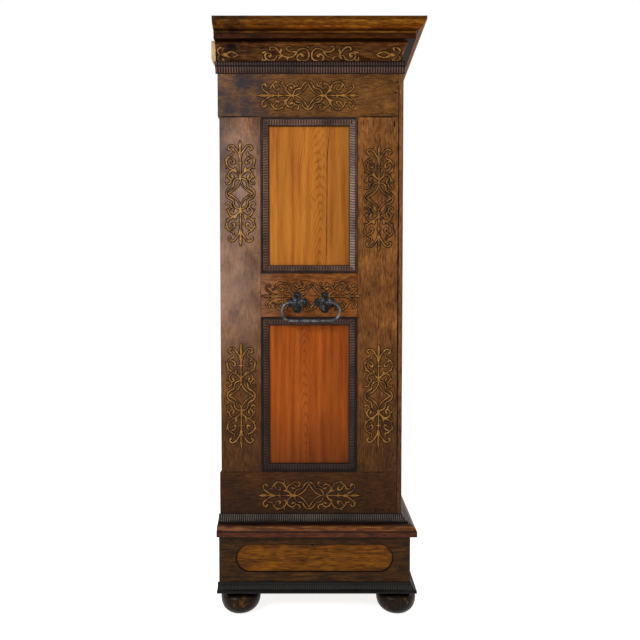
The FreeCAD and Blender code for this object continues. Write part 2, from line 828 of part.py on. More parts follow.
rail_end_x = "side_in_x - batten_thick"
rail_z = "shelf_z - rail_drop"
rail_y = "(post_back_y + board_front_y) / 2"
rail_bore_gap = "rail_radius + running_gap"
rail_socket = turned("rail_socket", [
    ("0", "0"),
    ("rail_socket_radius", "0"),
    ("rail_cup_radius", "rail_socket_floor"),
    ("rail_cup_radius", "rail_socket_depth"),
    (rail_bore_gap, "rail_socket_depth"),
    (rail_bore_gap, "rail_socket_floor"),
    ("0", "rail_socket_floor"),
])
place(rail_socket, "-(%s)" % rail_end_x, rail_y, rail_z, ALONG_X)
keep(group("rail_sockets", rail_socket, mirrored("rail_socket_right", rail_socket)))
rail_half = "%s - rail_socket_floor" % rail_end_x
keep(rod("clothes_rail", "rail_radius", "2 * (%s - joint_gap)" % rail_half,
         "joint_gap - (%s)" % rail_half, rail_y, rail_z, ALONG_X))


# Crown: coved frieze, rippled moulding over the joint, cornice, dust boards and a bare pine back

frieze_section = [
    ("-frieze_thick", "0"),
    ("0", "0"),
    ("0", "crown_bead_height"),
    via("-frieze_hollow", "crown_bead_height + frieze_height * frieze_hollow_up_share"),
    ("frieze_flare", "crown_bead_height + frieze_height - frieze_fillet"),
    ("frieze_flare + cornice_step", "crown_bead_height + frieze_height - frieze_fillet"),
    ("frieze_flare + cornice_step", "crown_bead_height + frieze_height"),
    ("-frieze_thick", "crown_bead_height + frieze_height"),
]
keep(run_round("crown_frieze", frieze_section, "case_top_z", "0",
               "frieze_flare + cornice_step", "frieze_thick", "crown_overhang"))

crown_ripple_section = [
    ("0", "0"),
    ("cornice_step", "0"),
    ("crown_ripple_reach", "crown_band_height"),
    via("crown_bead_reach", "crown_band_height + crown_bead_height * crown_bead_up_share"),
    ("crown_ripple_reach * crown_bead_top_share", "crown_band_height + crown_bead_height"),
    ("0", "crown_band_height + crown_bead_height"),
]
keep(run_round("crown_ripple", crown_ripple_section, "crown_bottom_z", "0", "crown_bead_reach",
               "0", "crown_overhang"))

bead_low = "cornice_band_height"
bead_high = "cornice_band_height + cornice_bead_height"
bead_out = "cornice_soffit_reach + cornice_bead_reach"
cove_high = "%s + cornice_cove_height" % bead_high
cove_out = "crown_reach - cornice_ogee_height"
ogee_high = "cornice_height - cornice_fillet_height"
cornice_section = [
    ("-cornice_seat", "0"),
    ("cornice_soffit_reach", "0"),
    ("cornice_soffit_reach", bead_low),
    ("cornice_soffit_reach + cornice_step", bead_low),
    via(bead_out, "%s + cornice_bead_height / 2" % bead_low),
    ("cornice_soffit_reach + cornice_step", bead_high),
    via("(%s) - cove_share * ((%s) - cornice_soffit_reach)" % (cove_out, cove_out),
        "%s + cornice_cove_height * cove_share" % bead_high),
    (cove_out, cove_high),
    ("%s + cornice_step" % cove_out, cove_high),
    via("crown_reach - cornice_ogee_height * ogee_share",
        "%s + cornice_ogee_height / 2" % cove_high),
    ("crown_reach - cornice_step", ogee_high),
    ("crown_reach", ogee_high),
    ("crown_reach", "cornice_height"),
    ("-cornice_seat", "cornice_height"),
]
keep(run_round("crown_cornice", cornice_section, "frieze_top_z", "0", "crown_reach",
               "cornice_seat", "crown_overhang"))

dust_x = "half_width - cornice_seat"
keep(board("dust_boards", ("-(%s)" % dust_x, dust_x),
           ("front_y + cornice_seat", "back_y + crown_overhang"),
           ("frieze_top_z", "frieze_top_z + dust_board_thick")))

pine_back = new_body("crown_back")
pine_top = "frieze_top_z - crown_ripple_top + dust_board_thick / 2"
pine_round = "crown_back_thick * pine_round_share"
pine_sketch = outline(pine_back, "YZ_Plane", [
    ("0", "0"),
    ("crown_back_thick - %s" % pine_round, "0"),
    via("crown_back_thick - %s * pine_bow_share" % pine_round, "%s / 2" % pine_round),
    ("crown_back_thick", "3 / 2 * %s" % pine_round),
    ("crown_back_thick", pine_top),
    ("0", pine_top),
])
pad(pine_back, pine_sketch, "2 * half_width", both_ways=True)
place(pine_back, 0, "back_y + crown_overhang", "crown_ripple_top")
keep(pine_back, "crown_back_board")


# Side handles: a quatrefoil rosette with an eye at each end of a drop bail

rosette_out_x = "half_width + eye_standoff"
bail_radius = "bail_drop / 2"
left_rosettes = []
for end_name, shift in (("front", "-rosette_spacing / 2"), ("back", "rosette_spacing / 2")):
    plate = rod("rosette_plate_" + end_name, "rosette_plate_radius", "rosette_plate_thick")
    lobes = []
    for number, (across, up) in enumerate(((1, 0), (0, 1), (-1, 0), (0, -1))):
        lobes.append(diamond_point("lobe_%s_%d" % (end_name, number + 1), "lobe_side",
                                   "lobe_tip_side", "lobe_height",
                                   "%d * lobe_offset" % across, "%d * lobe_offset" % up))
    neck = board("eye_neck_" + end_name, ("-eye_thick / 2", "eye_thick / 2"),
                 ("-eye_radius", "eye_radius"), ("0", "eye_standoff"))
    ring = rod("eye_ring_" + end_name, "eye_radius", "eye_thick",
               "-eye_thick / 2", 0, "eye_standoff", ALONG_X)
    boss = joined("rosette_blank_" + end_name, plate, neck, ring, *lobes)
    bore = rod("eye_bore_" + end_name, "bail_rod_radius + bail_gap", "eye_thick + 2 * overrun",
               "-eye_thick / 2 - overrun", 0, "eye_standoff", ALONG_X)
    piece = cut("rosette_" + end_name, boss, bore)
    place(piece, "-half_width", "handle_y + (%s)" % shift, "handle_z", FACING_LEFT)
    left_rosettes.append(piece)
left_plates = group("rosettes_on_left", *left_rosettes)
keep(group("handle_rosettes", left_plates, mirrored("rosettes_on_right", left_plates)))

bail_flat = "bail_width / 2 - " + bail_radius
bail_tip = "rosette_spacing / 2 - eye_thick / 2 - bail_end"
bail = new_body("bail")
bail_path = bail.newObject("Sketcher::SketchObject", "bail_path")
bail_path.AttachmentSupport = [(origin_plane(bail, "XZ_Plane"), "")]
bail_path.MapMode = "FlatFace"


def path_point(across, up):
    return Vector(value(across), value(up), 0)


def tie(geometry, end, across, up=None):
    for kind, formula in (("DistanceX", across), ("DistanceY", up)):
        if formula is None:
            continue
        number = bail_path.addConstraint(
            Sketcher.Constraint(kind, -1, 1, geometry, end, value(formula)))
        bail_path.setExpression("Constraints[%d]" % number, bound(formula))


bail_path.addGeometry(Part.LineSegment(path_point("-(%s)" % bail_tip, "0"),
                                       path_point("-(%s)" % bail_flat, "0")))
bail_path.addGeometry(Part.ArcOfCircle(
    Part.Circle(path_point("-(%s)" % bail_flat, "-" + bail_radius), Vector(0, 0, 1),
                value(bail_radius)), math.pi / 2, 3 * math.pi / 2))
bail_path.addGeometry(Part.LineSegment(path_point("-(%s)" % bail_flat, "-bail_drop"),
                                       path_point(bail_flat, "-bail_drop")))
bail_path.addGeometry(Part.ArcOfCircle(
    Part.Circle(path_point(bail_flat, "-" + bail_radius), Vector(0, 0, 1),
                value(bail_radius)), -math.pi / 2, math.pi / 2))
bail_path.addGeometry(Part.LineSegment(path_point(bail_flat, "0"), path_point(bail_tip, "0")))
for first, first_end, second, second_end in ((0, 2, 1, 1), (1, 2, 2, 1), (2, 2, 3, 1),
                                             (3, 2, 4, 1)):
    bail_path.addConstraint(
        Sketcher.Constraint("Coincident", first, first_end, second, second_end))
tie(0, 1, "-(%s)" % bail_tip, "0")
tie(0, 2, "-(%s)" % bail_flat, "0")
tie(2, 1, "-(%s)" % bail_flat, "-bail_drop")
tie(2, 2, bail_flat, "-bail_drop")
tie(4, 1, bail_flat, "0")
tie(4, 2, bail_tip, "0")
tie(1, 3, "-(%s)" % bail_flat)
tie(3, 3, bail_flat)
doc.recompute()
rod_flat = "bail_rod_radius * rod_flat_share"
rod_corner = "bail_rod_radius * rod_corner_share"
bail_section = outline(bail, "YZ_Plane", [
    (rod_flat, rod_corner),
    (rod_corner, rod_flat),
    ("-" + rod_corner, rod_flat),
    ("-" + rod_flat, rod_corner),
    ("-" + rod_flat, "-" + rod_corner),
    ("-" + rod_corner, "-" + rod_flat),
    (rod_corner, "-" + rod_flat),
    (rod_flat, "-" + rod_corner),
])
bail_section.setExpression(".AttachmentOffset.Base.z", bound("-(%s)" % bail_tip))
doc.recompute()
bail_pipe = bail.newObject("PartDesign::AdditivePipe", "bail_pipe")
bail_pipe.Profile = bail_section
bail_pipe.Spine = (bail_path, ["Edge%d" % (number + 1) for number in range(5)])
place(bail, "-(%s)" % rosette_out_x, "handle_y", "handle_z", Rotation(Vector(0, 0, 1), -90))
keep_pair(bail, "bail_handle")


# Doors: stiles full height, rails between, two floating panels in rippled frames

door_x = ("-door_hinge_x", "-door_free_x")
door_y = ("front_y", "door_back_y")
door_opening_x = ("-door_hinge_x + door_stile_width", "-door_free_x - door_stile_width")
door_tenon_y = ("(front_y + door_back_y - tenon_thick) / 2", "(front_y + door_back_y + tenon_thick) / 2")
door_panel_y = ("front_y + panel_recess", "front_y + panel_recess + panel_thick")

door_rail_spans = (("top", "upper_top_z", "door_top_z"),
                   ("middle", "lower_top_z", "upper_bottom_z"),
                   ("bottom", "door_bottom_z", "lower_bottom_z"))
door_rails = []
door_mortises = []
for spot_name, low_z, high_z in door_rail_spans:
    rail, mortise = tenoned(
        "door_rail_" + spot_name, door_opening_x, door_y, (low_z, high_z),
        {"x": grown(door_opening_x[0], door_opening_x[1], "tenon_length"),
         "y": door_tenon_y,
         "z": ("(%s) + tenon_shoulder" % low_z, "(%s) - tenon_shoulder" % high_z)})
    door_rails.append(rail)
    door_mortises.append(mortise)

door_panels = []
door_grooves = []
for spot_name, low_z, high_z in (("upper", "upper_bottom_z", "upper_top_z"),
                                 ("lower", "lower_bottom_z", "lower_top_z")):
    wide = grown(door_opening_x[0], door_opening_x[1], "panel_tongue")
    tall = grown(low_z, high_z, "panel_tongue")
    door_panels.append(board("door_panel_" + spot_name, wide, door_panel_y, tall))
    door_grooves.append(board(
        "door_groove_" + spot_name, grown(wide[0], wide[1], "joint_gap"),
        grown(door_panel_y[0], door_panel_y[1], "joint_gap"),
        grown(tall[0], tall[1], "joint_gap")))

key_bore = rod("key_bore", "key_radius + keyhole_gap", "door_thick + 2 * overrun",
               "-key_x", "door_back_y + overrun", "key_z", FACING_FRONT)
key_slot = board("key_slot",
                 grown("-key_x", "-key_x", "key_bit_thick / 2 + keyhole_gap"),
                 ("front_y - plate_thick - overrun", "door_back_y + overrun"),
                 ("key_z - key_bit_length - keyhole_gap", "key_z"))
hinge_stile = cut("door_hinge_stile",
                  board("door_hinge_stile_board", (door_x[0], door_opening_x[0]), door_y,
                        ("door_bottom_z", "door_top_z")),
                  *(door_mortises + door_grooves))
lock_stile = cut("door_lock_stile",
                 board("door_lock_stile_board", (door_opening_x[1], door_x[1]), door_y,
                       ("door_bottom_z", "door_top_z")),
                 key_bore, key_slot, *(door_mortises + door_grooves))
keep_pair(group("door_stiles", hinge_stile, lock_stile), "door_stiles")
rail_nodes = [cut(rail.Name + "_cut", rail, *door_grooves) for rail in door_rails]
keep_pair(group("door_rails", *rail_nodes), "door_rails")
keep_pair(group("door_panels", *door_panels), "door_panels")

door_opening_width = "(%s) - (%s)" % (door_opening_x[1], door_opening_x[0])
door_frames = []
for spot_name, low_z, height in (("upper", "upper_bottom_z", "upper_opening_height"),
                                 ("lower", "lower_bottom_z", "lower_opening_height")):
    frame = ripple_frame("door_ripple_" + spot_name, door_opening_width, height)
    place(frame, door_opening_x[0], door_panel_y[0], low_z, FACING_FRONT)
    door_frames.append(frame)
keep_pair(group("door_ripple", *door_frames), "door_ripple")


# Lift-off hinges: a pintle on the corner post, and the knuckle that drops over it on the door

door_height = "(door_top_z - door_bottom_z)"
pintles = []
straps = []
for number, share in enumerate(HINGE_SHARES, start=1):
    seat_z = "door_bottom_z + %g * %s" % (share, door_height)
    low_z = "%s - knuckle_length" % seat_z
    high_z = "%s + knuckle_length + running_gap" % seat_z
    pintle = joined(
        "pintle_%d" % number,
        rod("pintle_knuckle_%d" % number, "knuckle_radius", "knuckle_length",
            "-hinge_axis_x", "hinge_axis_y", low_z),
        rod("pintle_pin_%d" % number, "hinge_pin_radius",
            "knuckle_length + knuckle_length * hinge_pin_share",
            "-hinge_axis_x", "hinge_axis_y", low_z),
        board("pintle_plate_%d" % number, ("-hinge_axis_x - hinge_plate_width", "-hinge_axis_x"),
              ("front_y - hinge_plate_thick", "front_y"), (low_z, seat_z)))
    pintles += [pintle, mirrored("pintle_right_%d" % number, pintle)]
    knuckle = joined(
        "knuckle_%d" % number,
        rod("knuckle_barrel_%d" % number, "knuckle_radius", "knuckle_length",
            "-hinge_axis_x", "hinge_axis_y", "%s + running_gap" % seat_z),
        board("knuckle_plate_%d" % number, ("-hinge_axis_x", "hinge_plate_width - hinge_axis_x"),
              ("front_y - hinge_plate_thick", "front_y"), ("%s + running_gap" % seat_z, high_z)))
    pin_hole = rod("pin_hole_%d" % number, "hinge_pin_radius + pin_gap",
                   "knuckle_length * hinge_bore_share",
                   "-hinge_axis_x", "hinge_axis_y", seat_z)
    straps.append(cut("strap_%d" % number, knuckle, pin_hole))
keep(group("hinge_pintles", *pintles))
keep_pair(group("door_hinges", *straps), "door_hinges")


# Locks: an iron box on the back of the lock stile, a key plate in front, a key and its bolt

lock_y = ("door_back_y", "door_back_y + lock_depth")
lock_box = board("lock_box", ("-lock_end_x - lock_width", "-lock_end_x"), lock_y,
                 ("key_z - lock_height / 2", "key_z + lock_height / 2"))
chamber_half = "key_bit_length + keyhole_gap"
chamber = board("lock_chamber", grown("-key_x", "-key_x", chamber_half),
                ("door_back_y + lock_wall", "door_back_y + lock_depth - lock_wall"),
                grown("key_z", "key_z", chamber_half))
channel = board("bolt_channel", ("-lock_end_x - bolt_length - bolt_throw", "overrun - lock_end_x"),
                grown(bolt_y[0], bolt_y[1], "bolt_gap"), grown(bolt_z[0], bolt_z[1], "bolt_gap"))
lock_bore = rod("lock_bore", "key_radius + pin_gap", "lock_depth - lock_wall / 2 + overrun",
                "-key_x", "door_back_y + lock_depth - lock_wall / 2", "key_z", FACING_FRONT)
lock_slot = board("lock_slot", grown("-key_x", "-key_x", "key_bit_thick / 2 + keyhole_gap"),
                  ("door_back_y - overrun", "door_back_y + 2 * lock_wall"),
                  ("key_z - key_bit_length - keyhole_gap", "key_z"))
lock_case = cut("lock_case", lock_box, chamber, channel, lock_bore, lock_slot)

plate = new_body("key_plate_blank")
plate_waist_out = "plate_half_width * plate_waist_out_share"
plate_waist_up = "plate_half_height * plate_waist_up_share"
plate_sketch = outline(plate, "XY_Plane", [
    ("0", "plate_half_height"),
    via("-" + plate_waist_out, plate_waist_up),
    ("-plate_half_width", "0"),
    via("-" + plate_waist_out, "-" + plate_waist_up),
    ("0", "-plate_half_height"),
    via(plate_waist_out, "-" + plate_waist_up),
    ("plate_half_width", "0"),
    via(plate_waist_out, plate_waist_up),
])
pad(plate, plate_sketch, "plate_thick")
place(plate, "-key_x", "front_y", "key_z", FACING_FRONT)
plate_bore = rod("plate_bore", "key_radius + keyhole_gap", "plate_thick + 2 * overrun",
                 "-key_x", "front_y + overrun", "key_z", FACING_FRONT)
key_plate = cut("key_plate", plate, plate_bore, key_slot)
keep_pair(group("door_lock", lock_case, key_plate), "door_lock")

keep_pair(board("lock_bolt", ("-lock_end_x - bolt_length", "-lock_end_x"), bolt_y, bolt_z),
          "lock_bolt")

key_tip_y = "door_back_y + lock_depth - lock_wall / 2 - joint_gap"
key_face_y = "front_y - key_reach"
key_shank = rod("key_shank", "key_radius", "(%s) - (%s)" % (key_tip_y, key_face_y),
                "-key_x", key_tip_y, "key_z", FACING_FRONT)
key_bit = board("key_bit", grown("-key_x", "-key_x", "key_bit_thick / 2"),
                ("door_back_y + (lock_depth - key_bit_width) / 2",
                 "door_back_y + (lock_depth + key_bit_width) / 2"),
                ("key_z - key_bit_length", "key_z"))
bow_y = "%s - key_bow_radius" % key_face_y
bow_disc = rod("key_bow_disc", "key_bow_radius + key_bow_wire", "2 * key_bow_wire",
               "-key_x - key_bow_wire", bow_y, "key_z", ALONG_X)
bow_hole = rod("key_bow_hole", "key_bow_radius - key_bow_wire", "2 * (key_bow_wire + overrun)",
               "-key_x - key_bow_wire - overrun", bow_y, "key_z", ALONG_X)
keep_pair(joined("key", key_shank, key_bit, cut("key_bow", bow_disc, bow_hole)), "key")


# Drawers: a board front with a sunk oval, boxed sides and back, a grooved bottom and two knobs

drawer_front = oval_board("drawer_front", "drawer_width",
                          "oval_z - drawer_low_z - drawer_gap",
                          "drawer_high_z - drawer_gap - oval_z", "drawer_front_thick")
place(drawer_front, "-drawer_mid_x", "base_front_y", "oval_z", FACING_FRONT)
drawer_x = ("-drawer_mid_x - drawer_width / 2", "-drawer_mid_x + drawer_width / 2")
box_y = ("base_front_y + drawer_front_thick", "back_y - base_back_thick - drawer_back_room")
box_z = ("drawer_low_z + running_gap", "drawer_low_z + drawer_side_height")
inner_x = ("%s + drawer_side_thick" % drawer_x[0], "%s - drawer_side_thick" % drawer_x[1])
bottom_x = grown(inner_x[0], inner_x[1], "drawer_groove")
bottom_y = (box_y[0], "%s - drawer_side_thick + drawer_groove" % box_y[1])
bottom_z = ("drawer_low_z + drawer_floor_rise", "drawer_low_z + drawer_floor_rise + drawer_floor_thick")
bottom_groove = board("drawer_bottom_groove", grown(bottom_x[0], bottom_x[1], "joint_gap"),
                      (bottom_y[0], "%s + joint_gap" % bottom_y[1]),
                      grown(bottom_z[0], bottom_z[1], "joint_gap"))
drawer_sides = []
for spot_name, low_x, high_x in (("outer", drawer_x[0], inner_x[0]), ("inner", inner_x[1], drawer_x[1])):
    side = board("drawer_side_%s_board" % spot_name, (low_x, high_x), box_y, box_z)
    drawer_sides.append(cut("drawer_side_" + spot_name, side, bottom_groove))
drawer_back = cut("drawer_back",
                  board("drawer_back_board", inner_x,
                        ("%s - drawer_side_thick" % box_y[1], box_y[1]), box_z), bottom_groove)
drawer_bottom = board("drawer_bottom", bottom_x, bottom_y, bottom_z)
keep_pair(group("drawer_box", drawer_front, drawer_back, drawer_bottom, *drawer_sides), "drawer")

knob_rim = "knob_neck_length + knob_flare_length"
knob_section = [
    ("0", "0"),
    ("knob_neck_radius", "0"),
    ("knob_neck_radius", "knob_neck_length"),
    ("knob_radius", knob_rim),
    ("knob_radius", "%s + knob_edge_length" % knob_rim),
    ("knob_face_radius", "knob_length"),
    ("0", "knob_length"),
]
knobs = []
for spot_name, shift in (("outer", "-knob_spacing / 2"), ("inner", "knob_spacing / 2")):
    knob = turned("knob_" + spot_name, knob_section)
    place(knob, "-drawer_mid_x + (%s)" % shift, "base_front_y + oval_depth", "oval_z", FACING_FRONT)
    knobs.append(knob)
keep_pair(group("drawer_knobs", *knobs), "drawer_knobs")


# Check every object, then write one file for each node

doc.recompute()
failed = [item.Name for item in doc.Objects if {"Invalid", "Error"} & set(item.State)]
if failed:
    raise RuntimeError("failed: " + ", ".join(failed))
for node in nodes:
    if node.Shape.isNull() or not node.Shape.isValid():
        raise RuntimeError("bad shape: " + node.Label)

os.makedirs("parts", exist_ok=True)
for node in nodes:
    node.Shape.exportStep("parts/%s.step" % node.Label)
whole = Part.makeCompound([node.Shape for node in nodes])
print("%d nodes, %d solids" % (len(nodes), len(whole.Solids)))
print("box", whole.BoundBox)
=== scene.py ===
# %% [markdown]
# # Dressing an old two-door wardrobe
#
# The wardrobe was built by a joiner: boards, frames with panels, sawn and planed mouldings,
# turned feet and a little ironwork. The CAD frame already holds those boards at their true
# size. This lesson gives them their finish, and adds what a carver, a smith and two and a half
# centuries of use put on top. Everything is in metres, the doors face -Y and the photographed
# side is the one at -X.

import math
import random

import bmesh
import bpy
from mathutils import Matrix, Vector
from mathutils.bvhtree import BVHTree


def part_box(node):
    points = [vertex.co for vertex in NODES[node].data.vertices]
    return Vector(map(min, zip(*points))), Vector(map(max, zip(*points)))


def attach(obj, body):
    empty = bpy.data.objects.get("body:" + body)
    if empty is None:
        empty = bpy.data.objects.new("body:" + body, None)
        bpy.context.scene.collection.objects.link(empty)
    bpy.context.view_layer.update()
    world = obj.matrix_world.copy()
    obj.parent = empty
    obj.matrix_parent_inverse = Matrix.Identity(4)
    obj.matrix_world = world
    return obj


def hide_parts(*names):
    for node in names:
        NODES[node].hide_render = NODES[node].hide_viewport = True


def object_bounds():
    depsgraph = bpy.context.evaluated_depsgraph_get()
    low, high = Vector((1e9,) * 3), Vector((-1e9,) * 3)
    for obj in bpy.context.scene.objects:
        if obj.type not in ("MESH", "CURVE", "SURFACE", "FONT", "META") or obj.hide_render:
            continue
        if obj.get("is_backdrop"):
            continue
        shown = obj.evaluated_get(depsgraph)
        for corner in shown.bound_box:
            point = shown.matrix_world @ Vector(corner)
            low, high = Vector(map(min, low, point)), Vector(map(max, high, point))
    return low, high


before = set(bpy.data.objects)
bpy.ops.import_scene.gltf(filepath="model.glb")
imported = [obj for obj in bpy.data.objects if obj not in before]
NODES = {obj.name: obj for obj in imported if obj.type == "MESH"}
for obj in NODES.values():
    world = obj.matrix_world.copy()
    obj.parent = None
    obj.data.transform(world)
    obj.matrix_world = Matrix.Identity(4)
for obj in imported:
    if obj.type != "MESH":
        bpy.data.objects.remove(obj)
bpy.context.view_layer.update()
MM = 0.001
random.seed(1721)

# %% [markdown]
# ## The camera
#
# The photographer stood two metres from the left side of the wardrobe, at chest height, and
# tipped the lens down by two degrees. A camera is only a place, a direction and a focal length,
# so the three are written down as measured, and no shift is needed.

# %% Camera
CAMERA_PLACE = (-2.890, -0.0095, 1.144)
CAMERA_TIP = math.radians(1.98)
FOCAL_PIXELS = 550
PICTURE_PIXELS = 640
SENSOR_MM = 36

camera_data = bpy.data.cameras.new("side_view")
camera_data.sensor_width = SENSOR_MM
camera_data.lens = SENSOR_MM * FOCAL_PIXELS / PICTURE_PIXELS
camera = bpy.data.objects.new("side_view", camera_data)
camera.location = CAMERA_PLACE
camera.rotation_euler = (math.pi / 2 - CAMERA_TIP, 0, -math.pi / 2)
bpy.context.scene.collection.objects.link(camera)
bpy.context.scene.camera = camera
print("lens", round(camera_data.lens, 2), "mm")

# %% [markdown]
# ## Colours and shader nodes
#
# Colours are easy to name as sRGB hex values, as a paint shop or a photo editor gives them, but
# the renderer adds light in linear values. One function turns the first into the second. A
# second function adds a shader node with its settings and links, so that each material below
# reads as a list of what it is made of. A finish is built up in layers, as it was on the real
# wood: a layer either darkens and tints what is under it, or covers a share of it.


# %% Colour and node helpers
def linear(hex_text):
    """A colour written as rrggbb, in the linear values that the renderer works in."""
    def channel(text):
        level = int(text, 16) / 255
        return level / 12.92 if level <= 0.04045 else ((level + 0.055) / 1.055) ** 2.4
    return tuple(channel(hex_text[i:i + 2]) for i in (0, 2, 4)) + (1.0,)


def add(tree, kind, inputs=None, stops=None, **settings):
    """One shader node, with its settings, its ramp stops, and its inputs set or linked.

    An input is a value, a socket, or a node, which then gives its first output.
    """
    made = tree.nodes.new("ShaderNode" + kind)
    for key, setting in settings.items():
        setattr(made, key, setting)
    for number, (position, colour) in enumerate(stops or ()):
        ramp = made.color_ramp.elements
        stop = ramp[number] if number < len(ramp) else ramp.new(position)
        stop.position = position
        stop.color = linear(colour)
    for key, source in (inputs or {}).items():
        if isinstance(source, bpy.types.Node):
            source = source.outputs[0]
        if isinstance(source, bpy.types.NodeSocket):
            tree.links.new(source, made.inputs[key])
        else:
            made.inputs[key].default_value = source
    return made


RANGE = ("Value", "From Min", "From Max", "To Min", "To Max")


def layer(tree, colour, *factors, over=None):
    """A colour multiplied by all the factors, or covered by another colour to that share.

    A factor is an input, or a tuple that stretches one: (input, low, high, at low, at high).
    Where the last two are left out, it runs from 0 to 1.
    """
    share = None
    for factor in factors:
        if isinstance(factor, tuple):
            factor = add(tree, "MapRange", dict(zip(RANGE, factor)))
        if share is None:
            share = factor
        else:
            share = add(tree, "Math", {0: share, 1: factor}, operation="MULTIPLY")
    if over is None:
        return add(tree, "VectorMath", {0: colour, 1: share}, operation="MULTIPLY")
    return add(tree, "Mix", {0: share, 6: colour, 7: over}, data_type="RGBA").outputs[2]


def new_material(name):
    material = bpy.data.materials.new(name)
    material.use_nodes = True
    material.node_tree.nodes.clear()
    return material, material.node_tree


def finish_with(tree, shader):
    add(tree, "OutputMaterial", {"Surface": shader})


# %% [markdown]
# ## Old stained wood
#
# Nearly all that shows is pine or a darker wood under stain, oil and wax. To the eye it is three
# things on top of each other: long streaks of early and late growth a few millimetres wide, fine
# fibres of a millimetre or so, and slow clouds where two centuries of hands, sun and polish took
# colour away or left it. Each is a noise pattern in the object's own metres, squeezed along the
# grain. A board is an island of its mesh, so a random number for each island moves the pattern,
# and no two boards of a frame share their figure. The base boards are the exception: the number
# changed within a board there, which showed as a hard line, so their figure runs on through the
# whole node. The corners and hollows that the ambient occlusion node finds are darkened, partly
# as dirt that a cloth can't reach and partly as painted shade. The wax is thin and dull, so the
# specular level is well under that of fresh varnish.

# %% Wood
GRAIN = {"X": (0.05, 1, 1), "Y": (1, 0.05, 1), "Z": (1, 1, 0.05)}
FIGURE = {"X": (0.13, 1, 1), "Y": (1, 0.13, 1), "Z": (1, 1, 0.13)}
PATCH = {"X": (0.5, 1, 1), "Y": (1, 0.5, 1), "Z": (1, 1, 0.5)}
ISLAND_SHIFT = (3.7, 5.9, 2.3)
FIBRE_MM, SPECK_MM, SOOT_MM, RELIEF_MM = 1.6, 4.5, 75, 0.5
SOOT_WALL_Y, SOOT_RISE_Z = (0.06, 0.26), (1.35, 1.80)
DUST_SHEEN_WALL_Y, DUST_SHEEN_FOOT_Z, DUST_SHEEN_HEAD_Z = (0.12, 0.27), (0.80, 1.15), (1.62, 1.84)


def board_coordinates(tree, number=None):
    """The object's own metres, moved by a step for each board: random, or by its number."""
    place = add(tree, "TexCoord").outputs["Object"]
    if number is None:
        number = add(tree, "NewGeometry").outputs["Random Per Island"]
    shift = add(tree, "VectorMath", {0: ISLAND_SHIFT, "Scale": number}, operation="SCALE")
    return place, add(tree, "VectorMath", {0: place, 1: shift}, operation="ADD"), number


